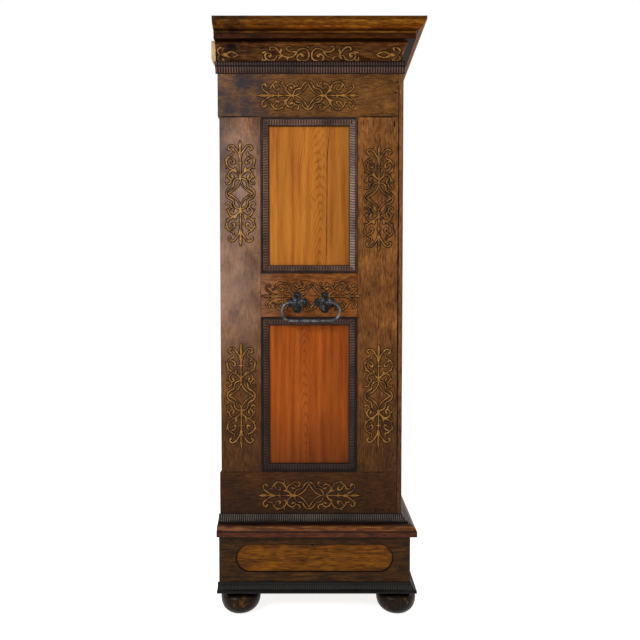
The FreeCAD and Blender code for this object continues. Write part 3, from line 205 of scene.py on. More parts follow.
def stained_wood(name, dark, middle, light, along, streak_mm=7, tone=0.28, roughness=0.5,
                 wax=0.10, grime_and_shade=0.6, grime_and_shade_reach=0.03, rub=None, rub_share=0.0, rub_mm=90,
                 specks=0.34, bands=None, floor_dirt=None, dust_and_sheen=None, smudge=None, waves=None,
                 board_tone=0.0, flat_face=False, one_board=False):
    """Wood under stain and wax, with the grain along an axis.

    rub is the colour of worn patches, and bands tints the wood by height. The darkening towards
    the floor is a painted shade, given as (low z, high z, the share that is left there). smudge is
    the soot on the wall side, where a pale film also lies, partly dust and partly a painted sheen.
    On a rippled moulding the crests take a lighter colour, partly rubbed wear and partly a painted
    highlight, over valleys darkened as painted shade. The nooks that the ambient occlusion node
    finds are darkened, partly as dirt and partly as painted shade. board_tone sets how much one
    board differs from the next, flat_face shades sawn boards by their true normals, and one_board
    lets the figure run on through the whole node.
    """
    material, tree = new_material(name)
    place, moved, island = board_coordinates(tree, 0.0 if one_board else None)
    y, z = add(tree, "SeparateXYZ", {0: place}).outputs[1:]
    lengthwise = add(tree, "VectorMath", {0: moved, 1: GRAIN[along]}, operation="MULTIPLY")
    broken = add(tree, "VectorMath", {0: moved, 1: FIGURE[along]}, operation="MULTIPLY")
    streaks = add(tree, "TexNoise", {"Vector": broken, "Scale": 1 / (streak_mm * MM),
                                     "Detail": 5, "Roughness": 0.66, "Distortion": 0.4})
    fibres = add(tree, "TexNoise", {"Vector": lengthwise, "Scale": 1 / (FIBRE_MM * MM),
                                    "Detail": 3, "Roughness": 0.7})
    clouds = add(tree, "TexNoise", {"Vector": moved, "Scale": 9, "Detail": 5, "Roughness": 0.62})
    figure = add(tree, "Math", {0: fibres, 1: 0.4, 2: streaks}, operation="MULTIPLY_ADD")
    colour = add(tree, "ValToRGB", {"Fac": figure},
                 stops=((0.54, dark), (0.70, middle), (0.87, light)))
    if rub:
        spread = add(tree, "VectorMath", {0: moved, 1: PATCH[along]}, operation="MULTIPLY")
        patches = add(tree, "TexNoise", {"Vector": spread, "Scale": 1 / (rub_mm * MM),
                                         "Detail": 7, "Roughness": 0.72})
        colour = layer(tree, colour, (patches, 0.54 - rub_share, 0.68 - rub_share, 0, 0.8),
                       over=linear(rub))
    colour = layer(tree, colour, (clouds, 0.32, 0.68, 1 - tone, 1 + tone))
    if board_tone:
        colour = layer(tree, colour, (island, 0, 1, 1 - board_tone, 1 + board_tone))
    if specks:
        dots = add(tree, "TexNoise", {"Vector": broken, "Scale": 1 / (SPECK_MM * MM),
                                      "Detail": 4, "Roughness": 0.7})
        colour = layer(tree, colour, (dots, 0.50, 0.66, 1, 1 - specks))
    if smudge:
        soot = add(tree, "TexNoise", {"Vector": moved, "Scale": 1 / (SOOT_MM * MM), "Detail": 6,
                                      "Roughness": 0.66})
        colour = layer(tree, colour, (soot, 0.39, 0.60, 0, 0.95), (y, *SOOT_WALL_Y),
                       (z, *SOOT_RISE_Z, 0.3, 1), over=linear(smudge))
    # Painted sheen, partly dust: a pale film over the wall side, strongest between the foot and
    # head heights.
    if dust_and_sheen:
        colour = layer(tree, colour, (y, *DUST_SHEEN_WALL_Y), (z, *DUST_SHEEN_FOOT_Z),
                       (z, *DUST_SHEEN_HEAD_Z, 1, 0.3), (clouds, 0.3, 0.7, 0.08, 0.30),
                       over=linear(dust_and_sheen))
    # Painted shade: the colour darkens from the high z down to the low z, towards the floor.
    if floor_dirt:
        colour = layer(tree, colour, (z, *floor_dirt))
    # Painted light on a rippled moulding: the crests take a lighter colour, partly rubbed wear and
    # partly a painted highlight, and the valleys darken to a twentieth, a painted shade.
    if waves:
        wave = add(tree, "Attribute", attribute_name="wave").outputs["Fac"]
        rubbed = linear(waves)
        # The crest colour takes the same painted shade towards the floor.
        if floor_dirt:
            rubbed = layer(tree, rubbed[:3], (z, *floor_dirt))
        colour = layer(tree, colour, (wave, 0.74, 1), (clouds, 0.34, 0.62, 0.25, 1), over=rubbed)
        colour = layer(tree, colour, (wave, 0, 0.6, 0.05, 1))
    if bands:
        low_z, high_z, tints = bands
        height = add(tree, "MapRange", {"Value": z, "From Min": low_z, "From Max": high_z})
        colour = layer(tree, colour, add(tree, "ValToRGB", {"Fac": height}, stops=tints))
    facing = {"Normal": add(tree, "NewGeometry").outputs["True Normal"]} if flat_face else {}
    # Painted shade, partly dirt: the colour darkens in the corners and hollows that the ambient
    # occlusion node finds.
    nook = add(tree, "AmbientOcclusion", {"Distance": grime_and_shade_reach, **facing}, samples=4)
    colour = layer(tree, colour, (nook.outputs["AO"], 0.35, 0.95, 1 - grime_and_shade, 1))
    bump = add(tree, "Bump", {"Height": figure, "Strength": 0.3, "Distance": RELIEF_MM * MM,
                              **facing})
    gloss = add(tree, "MapRange", {"Value": clouds, "To Min": roughness - 0.1,
                                   "To Max": roughness + 0.14})
    finish_with(tree, add(tree, "BsdfPrincipled", {
        "Base Color": colour, "Roughness": gloss, "IOR": 1.5, "Specular IOR Level": wax,
        "Normal": bump}))
    return material


# %% [markdown]
# ## The timbers of this wardrobe
#
# One wood differs from the next by its stain and by how it aged: the stiles and rails of the case
# are a middle brown, with soot towards the wall and a pale film there that is partly dust and
# partly a painted sheen, the run of rippled mouldings was blackened to look like ebony, the
# cornice is a warm walnut brown, and what faces the wall or the inside was never stained. The
# stiles, the rails, the frame ripples and the corner posts grow darker towards the floor, a
# painted shade. Each run of moulding has the grain along its own length, so a moulding that goes
# round the front and both sides needs two grain directions. Where a moulding has a round, a band
# and a fillet, its bands tint it by height; on the cornice they are painted light and shade, dark
# on its lower members and at full tone on the ogee.

# %% Timber stains
# Painted shade: the case darkens towards the floor, down to a fifth of its colour at the low z.
CASE_SHADE_TOWARDS_FLOOR = (0.36, 1.10, 0.20)
STAINS = {
    "walnut_stained_stile": dict(
        dark="42250d", middle="75461d", light="99693a", streak_mm=4.5, tone=0.46, rub="a2692a",
        rub_share=-0.015, rub_mm=55, floor_dirt=CASE_SHADE_TOWARDS_FLOOR, dust_and_sheen="dcc0ae", smudge="2a2024"),
    "walnut_stained_rail": dict(
        dark="44230d", middle="7d4519", light="a1662e", streak_mm=4.5, tone=0.44, rub="a76526",
        rub_share=-0.015, rub_mm=55, floor_dirt=CASE_SHADE_TOWARDS_FLOOR, dust_and_sheen="a89890", smudge="241a1e",
        bands=(0.3, 2.0, ((0.0, "dfe9f4"), (0.458, "dfe9f4"), (0.462, "ffffff"),
               (0.556, "ffffff"), (0.56, "cde2ef")))),
    "ebonised_ripple": dict(
        dark="1a110c", middle="2e2018", light="48342a", streak_mm=6, roughness=0.36, wax=0.12,
        grime_and_shade=0.7, grime_and_shade_reach=0.010, specks=0.0, tone=0.2, floor_dirt=(0.40, 1.60, 0.08),
        waves="b98b76"),
    # Painted highlight: a lighter copy of the ebonised ripple, for the lit front upright of each
    # upper frame.
    "dusty_ripple": dict(
        dark="271b15", middle="422f24", light="654a3d", streak_mm=6, roughness=0.36, wax=0.12,
        grime_and_shade=0.7, grime_and_shade_reach=0.010, specks=0.0, tone=0.2, floor_dirt=(0.40, 1.60, 0.08),
        waves="f4ccb8"),
    "blackened_run": dict(
        dark="0c0908", middle="171210", light="28211d", streak_mm=6, roughness=0.34, wax=0.12,
        grime_and_shade=0.7, grime_and_shade_reach=0.010, specks=0.0, tone=0.2, waves="8c7a6c",
        bands=(0.0, 2.1, ((0.0, "747770"), (0.047, "747770"), (0.050, "565f56"),
               (0.10, "565f56"), (0.15, "cfccc8"), (0.30, "cfccc8"), (0.90, "f7c1a6"),
               (0.942, "f7c1a6"), (0.946, "ab938e")))),
    "walnut_cornice": dict(
        dark="4c2c09", middle="7c4a12", light="9c6e24", streak_mm=5, roughness=0.42, wax=0.05,
        grime_and_shade=0.7, grime_and_shade_reach=0.02, rub="a07428", specks=0.35, smudge="2a160c",
        # Painted light and shade: the cornice's lower members are darkened by height and the ogee
        # is left at full tone.
        bands=(2.065, 2.127, ((0.0, "4a3a34"), (0.04, "8a7468"), (0.28, "80685c"),
               (0.30, "c4c0d4"), (0.42, "d2ccdc"), (0.44, "8c5c48"), (0.50, "f0d08c"),
               (0.62, "ffe8cc"), (0.80, "fffaf0"), (0.84, "b0a088")))),
    "walnut_frieze": dict(
        dark="3e210d", middle="7c4a20", light="a66a38", streak_mm=6, wax=0.04, rub="a66c36",
        grime_and_shade=0.15, grime_and_shade_reach=0.012, smudge="1c1418", roughness=0.62,
        bands=(2.001, 2.065, ((0.0, "787878"), (0.2, "a6a6aa"), (0.75, "c0c8ce"),
               (0.82, "ccc8c4"), (0.88, "ffffff")))),
    "red_brown_waist": dict(
        dark="361c0a", middle="663a15", light="8c5a2a", streak_mm=7, roughness=0.38, wax=0.14,
        tone=0.22, specks=0.2,
        bands=(0.294, 0.335, ((0.0, "a07c64"), (0.08, "c0a088"), (0.40, "b89880"),
               (0.45, "2c201a"), (0.52, "2c201a"), (0.56, "ffe8d8"), (0.82, "ffffff"),
               (0.93, "5c483c")))),
    "dark_stained_base": dict(
        dark="170d04", middle="361f09", light="543610", streak_mm=9, rub="5e3b0b",
        rub_share=-0.02, rub_mm=70, grime_and_shade=0.75, flat_face=True, one_board=True),
    "amber_oval_field": dict(
        dark="382003", middle="673a06", light="8a540d", streak_mm=8, rub="844e09", grime_and_shade=0.7,
        grime_and_shade_reach=0.02),
    "worn_black_foot": dict(
        dark="0a0603", middle="180f06", light="2c1c0b", streak_mm=7, roughness=0.32, wax=0.08,
        rub="86581c", rub_mm=48, grime_and_shade=0.8),
    "bare_old_pine": dict(
        dark="94703c", middle="aa8349", light="bd9558", streak_mm=20, roughness=0.62, wax=0.1,
        tone=0.16, grime_and_shade=0.5, grime_and_shade_reach=0.06, specks=0.0, board_tone=0.16, flat_face=True),
    "pale_sawn_pine": dict(
        dark="9c7e50", middle="c3a678", light="dcc49a", streak_mm=5, roughness=0.7, wax=0.1,
        tone=0.12, grime_and_shade=0.3, specks=0.1, flat_face=True),
    "corner_post_stain": dict(
        dark="432612", middle="764c2c", light="966a44", streak_mm=4.5, rub="90602c", grime_and_shade=0.5,
        floor_dirt=(0.36, 1.10, 0.35)),
}
WOODS = {}
for stain, recipe in STAINS.items():
    for axis in GRAIN:
        name = "%s_grain_%s" % (stain, axis.lower())
        WOODS[stain, axis] = stained_wood(name, along=axis, **recipe)
print(len(WOODS), "timber materials")

# %% [markdown]
# ## Amber pine panels
#
# The panels are wide pine boards sawn flat from the log, under an orange oil finish. A flat-sawn
# board cuts the growth rings like nested cones, so it shows tall arches in the middle and
# straight lines at the edges. The same thing happens here: rings are drawn round a pith line
# behind the board, and a little taper turns them into cones, so the board's face cuts arches out
# of them without any being drawn. A board's number comes from its place, above or below the
# middle rail and left or right, and its inner face was never oiled.


# %% Panel pine
RING_MM, BROAD_STREAK_MM = 3.8, 16
MIDDLE_HEIGHT = 1.165
BOARD_STEP = 0.31
ARCH_TOP, ARCH_DEPTH, LOG_TAPER = 0.964, 0.050, 0.12
UPPER_SHIFT, UPPER_DEPTH = 0.054, 0.055
INNER_SIDE_X, INNER_DOOR_Y = 0.876, 0.2955
SIDE_PITH_Y, DOOR_PITH_X = 0.048, 0.40
PANEL_FOOT_Z, PANEL_FRONT_Y = (0.48, 0.76), (-0.12, 0.18)


def panel_pine(name, pith_across, on_side):
    """Flat-sawn pine, with the upper boards yellower and the lower ones redder."""
    material, tree = new_material(name)
    x, y, level = add(tree, "SeparateXYZ", {0: add(tree, "TexCoord").outputs["Object"]}).outputs
    upper = add(tree, "Math", {0: level, 1: MIDDLE_HEIGHT}, operation="GREATER_THAN")
    right = add(tree, "Math", {0: x, 1: 0.0}, operation="GREATER_THAN")
    number = add(tree, "Math", {0: right, 1: BOARD_STEP, 2: upper}, operation="MULTIPLY_ADD")
    moved = board_coordinates(tree, number)[1]
    sideways = y if on_side else add(tree, "Math", {0: x}, operation="ABSOLUTE")
    slide = add(tree, "Math", {0: upper, 1: UPPER_SHIFT, 2: -pith_across},
                operation="MULTIPLY_ADD")
    across = add(tree, "Math", {0: sideways, 1: slide}, operation="ADD")
    depth = add(tree, "Math", {0: level, 1: LOG_TAPER, 2: ARCH_DEPTH - LOG_TAPER * ARCH_TOP},
                operation="MULTIPLY_ADD")
    depth = add(tree, "Math", {0: upper, 1: -UPPER_DEPTH, 2: depth}, operation="MULTIPLY_ADD")
    log = add(tree, "CombineXYZ", {0: across, 1: depth, 2: 0})
    squeezed = add(tree, "VectorMath", {0: moved, 1: (1, 1, 0.12)}, operation="MULTIPLY")
    bend = add(tree, "TexNoise", {"Vector": squeezed, "Scale": 12, "Detail": 3})
    bent = add(tree, "VectorMath", {0: bend.outputs[1], 1: (0.5, 0.5, 0.5)}, operation="SUBTRACT")
    log = add(tree, "VectorMath", {0: bent, 1: (0.03, 0.03, 0), 2: log},
              operation="MULTIPLY_ADD")
    rings = add(tree, "TexWave", {"Vector": log, "Scale": math.pi / 10 / (RING_MM * MM),
                                  "Distortion": 0.4, "Detail": 2, "Detail Scale": 3},
                wave_type="RINGS", rings_direction="Z", wave_profile="SIN")
    late = add(tree, "Math", {0: rings.outputs[1], 1: 4}, operation="POWER")
    lengthwise = add(tree, "VectorMath", {0: moved, 1: GRAIN["Z"]}, operation="MULTIPLY")
    fibres = add(tree, "TexNoise", {"Vector": lengthwise, "Scale": 1 / (FIBRE_MM * MM),
                                    "Detail": 3, "Roughness": 0.7})
    streaks = add(tree, "TexNoise", {"Vector": lengthwise, "Scale": 1 / (BROAD_STREAK_MM * MM),
                                     "Detail": 4, "Roughness": 0.6})
    figure = add(tree, "Math", {0: late, 1: 0.20, 2: streaks}, operation="MULTIPLY_ADD")
    figure = add(tree, "Math", {0: fibres, 1: 0.34, 2: figure}, operation="MULTIPLY_ADD")
    yellow, red, bare = (
        add(tree, "ValToRGB", {"Fac": figure}, stops=zip((0.52, 0.74, 1.0), hues))
        for hues in (("c27a2e", "b26b22", "8e4e18"), ("b45c1e", "a04c12", "743206"),
                     ("b98f56", "a87c44", "7f5a2c")))
    colour = layer(tree, red, upper, over=yellow)
    clouds = add(tree, "TexNoise", {"Vector": squeezed, "Scale": 14, "Detail": 5,
                                    "Roughness": 0.6})
    colour = layer(tree, colour, (clouds, 0.3, 0.7, 0.80, 1.16))
    # Painted shade: the lower panels darken towards the floor, to under a third at the low z.
    colour = layer(tree, colour, (level, *PANEL_FOOT_Z, 0.30, 1))
    if on_side:
        colour = layer(tree, colour, (sideways, *PANEL_FRONT_Y, 0.84, 1.04))
    inward, limit = (x, INNER_SIDE_X) if on_side else (y, INNER_DOOR_Y)
    inner = add(tree, "Math", {0: add(tree, "Math", {0: inward}, operation="ABSOLUTE"),
                               1: limit}, operation="LESS_THAN")
    colour = layer(tree, colour, inner, over=bare)
    facing = {"Normal": add(tree, "NewGeometry").outputs["True Normal"]}
    # Painted shade: the panel darkens to half in the nooks along its frame that the ambient
    # occlusion node finds.
    nook = add(tree, "AmbientOcclusion", {"Distance": 0.05, **facing}, samples=4)
    colour = layer(tree, colour, (nook.outputs["AO"], 0.4, 0.9, 0.5, 1))
    bump = add(tree, "Bump", {"Height": figure, "Strength": 0.2, "Distance": RELIEF_MM * MM,
                              **facing})
    finish_with(tree, add(tree, "BsdfPrincipled", {
        "Base Color": colour, "Roughness": 0.40, "IOR": 1.5, "Specular IOR Level": 0.10,
        "Normal": bump}))
    return material


SIDE_PANEL_PINE = panel_pine("amber_pine_side", SIDE_PITH_Y, True)
DOOR_PANEL_PINE = panel_pine("amber_pine_door", DOOR_PITH_X, False)


# %% [markdown]
# ## Iron and gold-coloured paste
#
# The handles, hinges, locks and keys are forged iron that was blacked with oil: dark, with a dull
# grey shine where hands polish it. It is a metal, so its IOR stays at the default and only its
# colour and roughness vary. The arabesques are pressed from a light paste, gilded once and now
# tan, with dark strips beside them that paint their shadow.


# %% Iron, paste and cracks
SCALE_MM, HAMMER_MM, MOTTLE_MM = 14, 6, 22


def forged_iron(name, dark, bright, roughness):
    """Blacked iron: fire scale under the hand's polish, over the dents of the hammer."""
    material, tree = new_material(name)
    place = add(tree, "TexCoord").outputs["Object"]
    scale = add(tree, "TexNoise", {"Vector": place, "Scale": 1 / (SCALE_MM * MM), "Detail": 6,
                                   "Roughness": 0.7})
    hammer = add(tree, "TexVoronoi", {"Vector": place, "Scale": 1 / (HAMMER_MM * MM)},
                 feature="SMOOTH_F1")
    ramp = add(tree, "ValToRGB", {"Fac": scale}, stops=((0.38, dark), (0.68, bright)))
    rough = add(tree, "MapRange", {"Value": scale, "From Min": 0.3, "From Max": 0.7,
                                   "To Min": roughness + 0.16, "To Max": roughness - 0.08})
    bump = add(tree, "Bump", {"Height": hammer, "Strength": 0.3, "Distance": RELIEF_MM * MM})
    finish_with(tree, add(tree, "BsdfPrincipled", {
        "Base Color": ramp, "Metallic": 0.85, "Roughness": rough, "Normal": bump}))
    return material


def pressed_paste(name, dark, light, roughness, bump_mm):
    """A mottled, dull paste; each piece of it has its own part of the pattern."""
    material, tree = new_material(name)
    place = add(tree, "VectorMath", {0: add(tree, "ObjectInfo").outputs["Random"],
                                     1: add(tree, "TexCoord").outputs["Object"]},
                operation="ADD")
    mottle = add(tree, "TexNoise", {"Vector": place, "Scale": 1 / (MOTTLE_MM * MM), "Detail": 6,
                                    "Roughness": 0.7})
    ramp = add(tree, "ValToRGB", {"Fac": mottle}, stops=((0.40, dark), (0.60, light)))
    bump = add(tree, "Bump", {"Height": mottle, "Strength": 0.4, "Distance": bump_mm * MM})
    finish_with(tree, add(tree, "BsdfPrincipled", {
        "Base Color": ramp, "Roughness": roughness, "IOR": 1.5, "Specular IOR Level": 0.12,
        "Normal": bump}))
    return material


IRON = forged_iron("oil_blacked_forged_iron", "0e0e10", "3e4043", 0.34)
WORN_IRON = forged_iron("hand_worn_iron", "232426", "6e7072", 0.32)
PASTE = pressed_paste("tan_gilded_paste", "55340f", "ac7a36", 0.45, 0.4)
PALE_PASTE = pressed_paste("pale_rubbed_paste", "6e4a26", "bb8c50", 0.45, 0.4)
BROWN_PASTE = pressed_paste("brown_waxed_paste", "4a2c12", "99692c", 0.45, 0.4)
# Painted shadow: the dark strips along both edges of every stroke of paste.
PASTE_SHADOW = pressed_paste("painted_shadow_beside_the_paste", "0a0502", "180d06", 0.8, 0.3)
CRACK = pressed_paste("shadow_in_an_open_crack", "050302", "0b0604", 0.9, 0.2)
RESIN = pressed_paste("dark_resin_fleck", "6d4320", "85551f", 0.5, 0.2)
print(len(bpy.data.materials), "materials with the frame's own")

# %% [markdown]
# ## Finishing the CAD boards
#
# The boards keep their CAD meshes, which can't be edited, but modifiers and materials are free.
# Old edges are never knife sharp, so a weld and a small bevel go over the flat boards, and the
# light catches them. The right finish for each node is a table of node, wood and grain.

# %% Materials of the CAD nodes
FINISHES = {
    "side_stiles": ("walnut_stained_stile", "Z", 1.2),
    "side_rails": ("walnut_stained_rail", "Y", 1.2),
    "door_stiles": ("walnut_stained_stile", "Z", 1.2),
    "door_rails": ("walnut_stained_rail", "X", 1.2),
    "corner_posts": ("corner_post_stain", "Z", 1.2),
    "front_rails": ("walnut_stained_rail", "X", 1.2),
    "centre_post": ("walnut_stained_stile", "Z", 1.2),
    "base_sides": ("dark_stained_base", "Y", 0.5),
    "base_front_frame": ("dark_stained_base", "X", 1.0),
    "base_back": ("bare_old_pine", "X", 1.0),
    "base_floor": ("bare_old_pine", "X", 1.0),
    "base_lid": ("bare_old_pine", "X", 1.0),
    "back_boards": ("bare_old_pine", "Z", 1.0),
    "case_floor": ("bare_old_pine", "X", 1.0),
    "case_ceiling": ("bare_old_pine", "X", 1.0),
    "dust_boards": ("bare_old_pine", "X", 1.0),
    "drawer_runners": ("bare_old_pine", "Y", 1.0),
    "shelf_battens": ("bare_old_pine", "Y", 1.0),
    "hat_shelf": ("bare_old_pine", "X", 1.0),
    "crown_back_board": ("pale_sawn_pine", "X", 0.0),
    "clothes_rail": ("bare_old_pine", "X", None),
    "rail_sockets": ("bare_old_pine", "Z", None),
    "drawer_left": ("dark_stained_base", "X", 0.5),
    "drawer_right": ("dark_stained_base", "X", 0.5),
    "crown_cornice": ("walnut_cornice", "Y", None),
    "crown_frieze": ("walnut_frieze", "Y", None),
    "waist_moulding": ("red_brown_waist", "Y", None),
}


SIDES = {"left": -1, "right": 1}
IRON_PAIRS = ("door_hinges", "door_lock", "lock_bolt", "key", "bail_handle", "drawer_knobs")
WELD_MM, BEVEL_ANGLE = 0.01, math.radians(40)


def dress(name, material, bevel_mm=None):
    """A CAD node takes a material. A size welds its faces into whole boards and bevels them."""
    node = NODES[name]
    node.data.materials.clear()
    node.data.materials.append(material)
    if bevel_mm is not None:
        weld = node.modifiers.new("weld", "WELD")
        weld.merge_threshold = WELD_MM * MM
    if bevel_mm:
        bevel = node.modifiers.new("soft_edges", "BEVEL")
        bevel.width = bevel_mm * MM
        bevel.segments = 2
        bevel.limit_method = "ANGLE"
        bevel.angle_limit = BEVEL_ANGLE
        bevel.harden_normals = True


for name in NODES:
    for stem, (stain, axis, bevel_mm) in FINISHES.items():
        if name in (stem, stem + "_left", stem + "_right"):
            dress(name, WOODS[stain, axis], bevel_mm)
for side in SIDES:
    dress("side_panels_" + side, SIDE_PANEL_PINE, 0.5)
    dress("door_panels_" + side, DOOR_PANEL_PINE, 0.5)
    for stem in IRON_PAIRS:
        dress("%s_%s" % (stem, side), IRON)
for name in ("hinge_pintles", "handle_rosettes"):
    dress(name, IRON)
print(len(FINISHES), "kinds of boards and mouldings,", len(IRON_PAIRS), "pairs of ironwork")

# %% [markdown]
# ## From points to a piece
#
# Most of what a maker shapes by hand can be laid out as rows of points: the section of a
# moulding again and again along it, or circle after circle up a turned foot. A skin of quads
# between the rows makes the surface. The same three steps then serve every piece: skin the
# rows, turn them into a mesh with its finish, and put the mesh in place, riding on a body.

# %% Skin, mesh and place
def skin(mesh, rows, closed=False, smooth=True):
    """Quads between neighbouring rows of points. The end of a closed row joins its start.

    The corners go round so that a flat grid faces up and a stack of rings faces outward.
    """
    faces = []
    for low, high in zip(rows, rows[1:]):
        for number in range(len(low) if closed else len(low) - 1):
            after = (number + 1) % len(low)
            if closed:
                corners = low[number], low[after], high[after], high[number]
            else:
                corners = low[number], high[number], high[after], low[after]
            face = mesh.faces.new(corners)
            face.smooth = smooth
            faces.append(face)
    return faces


def as_mesh(mesh, name, *materials, merge_mm=0, outward=True):
    """The mesh with its materials. Points nearer than merge_mm become one, in a smooth skin."""
    if merge_mm:
        bmesh.ops.remove_doubles(mesh, verts=mesh.verts, dist=merge_mm * MM)
        bmesh.ops.dissolve_degenerate(mesh, edges=mesh.edges, dist=merge_mm / 2 * MM)
        for face in mesh.faces:
            face.smooth = True
    if outward:
        bmesh.ops.recalc_face_normals(mesh, faces=mesh.faces)
    data = bpy.data.meshes.new(name)
    mesh.to_mesh(data)
    mesh.free()
    for material in materials:
        data.materials.append(material)
    return data


def put(name, data, body, matrix=None, replaces=()):
    """An object with that mesh at that place, riding on that body."""
    piece = bpy.data.objects.new(name, data)
    bpy.context.scene.collection.objects.link(piece)
    if matrix is not None:
        piece.matrix_world = matrix
    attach(piece, body)
    if replaces:
        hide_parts(*replaces)
    return piece


def axes(origin, along, across, up):
    """The matrix that takes (along, across, up) to those three directions from an origin."""
    columns = Matrix((Vector(along), Vector(across), Vector(up))).transposed().to_4x4()
    return Matrix.Translation(Vector(origin)) @ columns


# %% [markdown]
# ## A rippled moulding
#
# Rippled mouldings were scraped, not carved: a shaped cutter rides over a waved guide while the
# stick moves under it, and cuts the whole section a little deeper and a little less deep, over
# and over. So the mesh is a grid, the section across and many steps along, and each row moves
# by the wave. The crests are round and the valleys sharp. Where two sticks meet, the rows are
# held back to the 45 degree mitre, and the points that fall together there are merged.


# %% Rippled stick
PLAIN_TONE = 0.62
STEPS_PER_WAVE = 8


def rippled_stick(name, body, profile, length, ends, matrix, material, node_name):
    """One stick along the matrix's first axis, in place of part of a CAD node.

    The profile is (section, pitch, depth) in mm, with (across, height, waved) at each point of
    the section. An end is 1 or -1 for a mitre that shortens or lengthens the stick as it goes
    across, and 0 where it is sawn off square.
    """
    section, pitch_mm, depth_mm = profile
    section = [(across * MM, height * MM, waved) for across, height, waved in section]
    mesh = bmesh.new()
    crest = mesh.verts.layers.float.new("wave")
    waves = round(length / (pitch_mm * MM))
    pitch, depth = length / waves, depth_mm * MM
    reach = max(abs(point[0]) for point in section)
    first = min(0, ends[0] * reach)
    last = length + max(0, -ends[1] * reach)
    rows = []
    for step in range(waves * STEPS_PER_WAVE + 1):
        along = first + (last - first) * step / (waves * STEPS_PER_WAVE)
        row = []
        for number, (across, height, waved) in enumerate(section):
            held = min(max(along, ends[0] * across), length - ends[1] * across)
            wave = abs(math.sin(math.pi * held / pitch)) - 1
            before = section[max(0, number - 1)]
            after = section[min(len(section) - 1, number + 1)]
            normal = Vector((-(after[1] - before[1]), after[0] - before[0])).normalized()
            if normal.y < 0:
                normal = -normal
            vertex = mesh.verts.new((held, across + normal.x * wave * depth * waved,
                                     height + normal.y * wave * depth * waved))
            vertex[crest] = 1 + wave * waved if waved else PLAIN_TONE
            row.append(vertex)
        rows.append(row)
    skin(mesh, rows)
    data = as_mesh(mesh, name, material, merge_mm=0.02)
    data.transform(matrix)
    put(name, data, body, replaces=[node_name])


# %% [markdown]
# ## The frames round the panels
#
# Each panel sits in four rippled sticks: a bead stands at the outside, next to the stile, then a
# sharp quirk, then a waved band that slopes down to the panel, and a plain fillet at the foot.
# The waves are 5.8 mm apart. Each stick is made to its own length, as a joiner saws them from a
# long run, and turned into its place. The upright at the front edge of each upper frame has a
# lighter stain and brighter crests, a painted highlight for the light that falls on it.

# %% Frame ripples
FRAME_SECTION = [(0, 0, 0), (0, 11, 0), (1, 13.6, 0), (3, 15.7, 0), (5, 16, 0), (6.8, 14.6, 0),
                 (7.8, 12.2, 0), (8.6, 11.6, 0), (9.2, 12.6, 0.5), (11.5, 13.2, 1),
                 (14.5, 12.6, 1), (18, 11, 1), (21.5, 9, 1), (25, 7.3, 1), (26.4, 6.4, 0.4),
                 (27, 5.4, 0), (29.6, 5, 0), (30, 4.4, 0), (30, 0, 0)]
FRAME_PROFILE = (FRAME_SECTION, 5.8, 2.4)
PANEL_FACE = 0.878


def ripple_frame(name, body, corner, wide, out, width, height, node_name):
    """Four mitred sticks; wide goes from the low corner, and out away from the panel."""
    corner, wide, out, up = Vector(corner), Vector(wide), Vector(out), Vector((0, 0, 1))
    level_grain = "Y" if abs(wide.y) > 0.5 else "X"
    for stick, (start, along, across, length, grain) in {
        "top": (corner + up * height + wide * width, -wide, -up, width, level_grain),
        "foot": (corner, wide, up, width, level_grain),
        "near": (corner + up * height, -up, wide, height, "Z"),
        "far": (corner + wide * width, up, -wide, height, "Z"),
    }.items():
        # Painted highlight: the front upright of an upper frame takes the lighter copy of the
        # stain.
        lit_upright = stick == "near" and name.startswith("rippled_frame_upper")
        stain = "dusty_ripple" if lit_upright else "ebonised_ripple"
        rippled_stick("%s_%s" % (name, stick), body, FRAME_PROFILE, length, (1, 1),
                      axes(start, along, across, out), WOODS[stain, grain], node_name)


for side, sign in SIDES.items():
    boxes = {level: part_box("side_ripple_%s_%s" % (level, side)) for level in ("upper", "lower")}
    for level, (low, high) in boxes.items():
        ripple_frame("rippled_frame_%s_%s" % (level, side), "carcass",
                     (sign * PANEL_FACE, low.y, low.z), (0, 1, 0), (sign, 0, 0),
                     high.y - low.y, high.z - low.z, "side_ripple_%s_%s" % (level, side))
    door_low, door_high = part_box("door_ripple_" + side)
    for level, (low, high) in boxes.items():
        ripple_frame("door_frame_%s_%s" % (level, side), "door_" + side,
                     (door_low.x, door_high.y, low.z), (1, 0, 0), (0, -1, 0),
                     door_high.x - door_low.x, high.z - low.z, "door_ripple_" + side)
    print(side, "frames", [round(high.z - low.z, 3) for low, high in boxes.values()], "high")

# %% [markdown]
# ## The rippled runs round the case
#
# Three more rippled mouldings go round the front and both sides: under the cornice, on the waist
# and on the foot of the base. Their waves are wider, because each is read from further away. A
# run starts at the back on one side and ends at the back on the other, mitred at the front
# corners, and it is sawn off square behind.

# %% Rippled runs
HALF_WIDTH = 0.890
FRONT_Y = -0.3095
BACK_Y = 0.358


def rippled_run(node_name, profile, out, foot_z, overhang):
    """Front stick and two side sticks of a run that stands out from the case by out."""
    name = node_name + "_run"
    corner_x = HALF_WIDTH + out
    corner_y = FRONT_Y - out
    rippled_stick(name + "_front", "carcass", profile, 2 * corner_x, (-1, -1),
                  axes((-corner_x, corner_y, foot_z), (1, 0, 0), (0, -1, 0), (0, 0, 1)),
                  WOODS["blackened_run", "X"], node_name)
    for side, sign in SIDES.items():
        rippled_stick("%s_%s" % (name, side), "carcass", profile,
                      BACK_Y + overhang - corner_y, (-1, 0),
                      axes((sign * corner_x, corner_y, foot_z), (0, 1, 0), (sign, 0, 0),
                           (0, 0, 1)), WOODS["blackened_run", "Y"], node_name)
    print(name, "from", foot_z, "up")


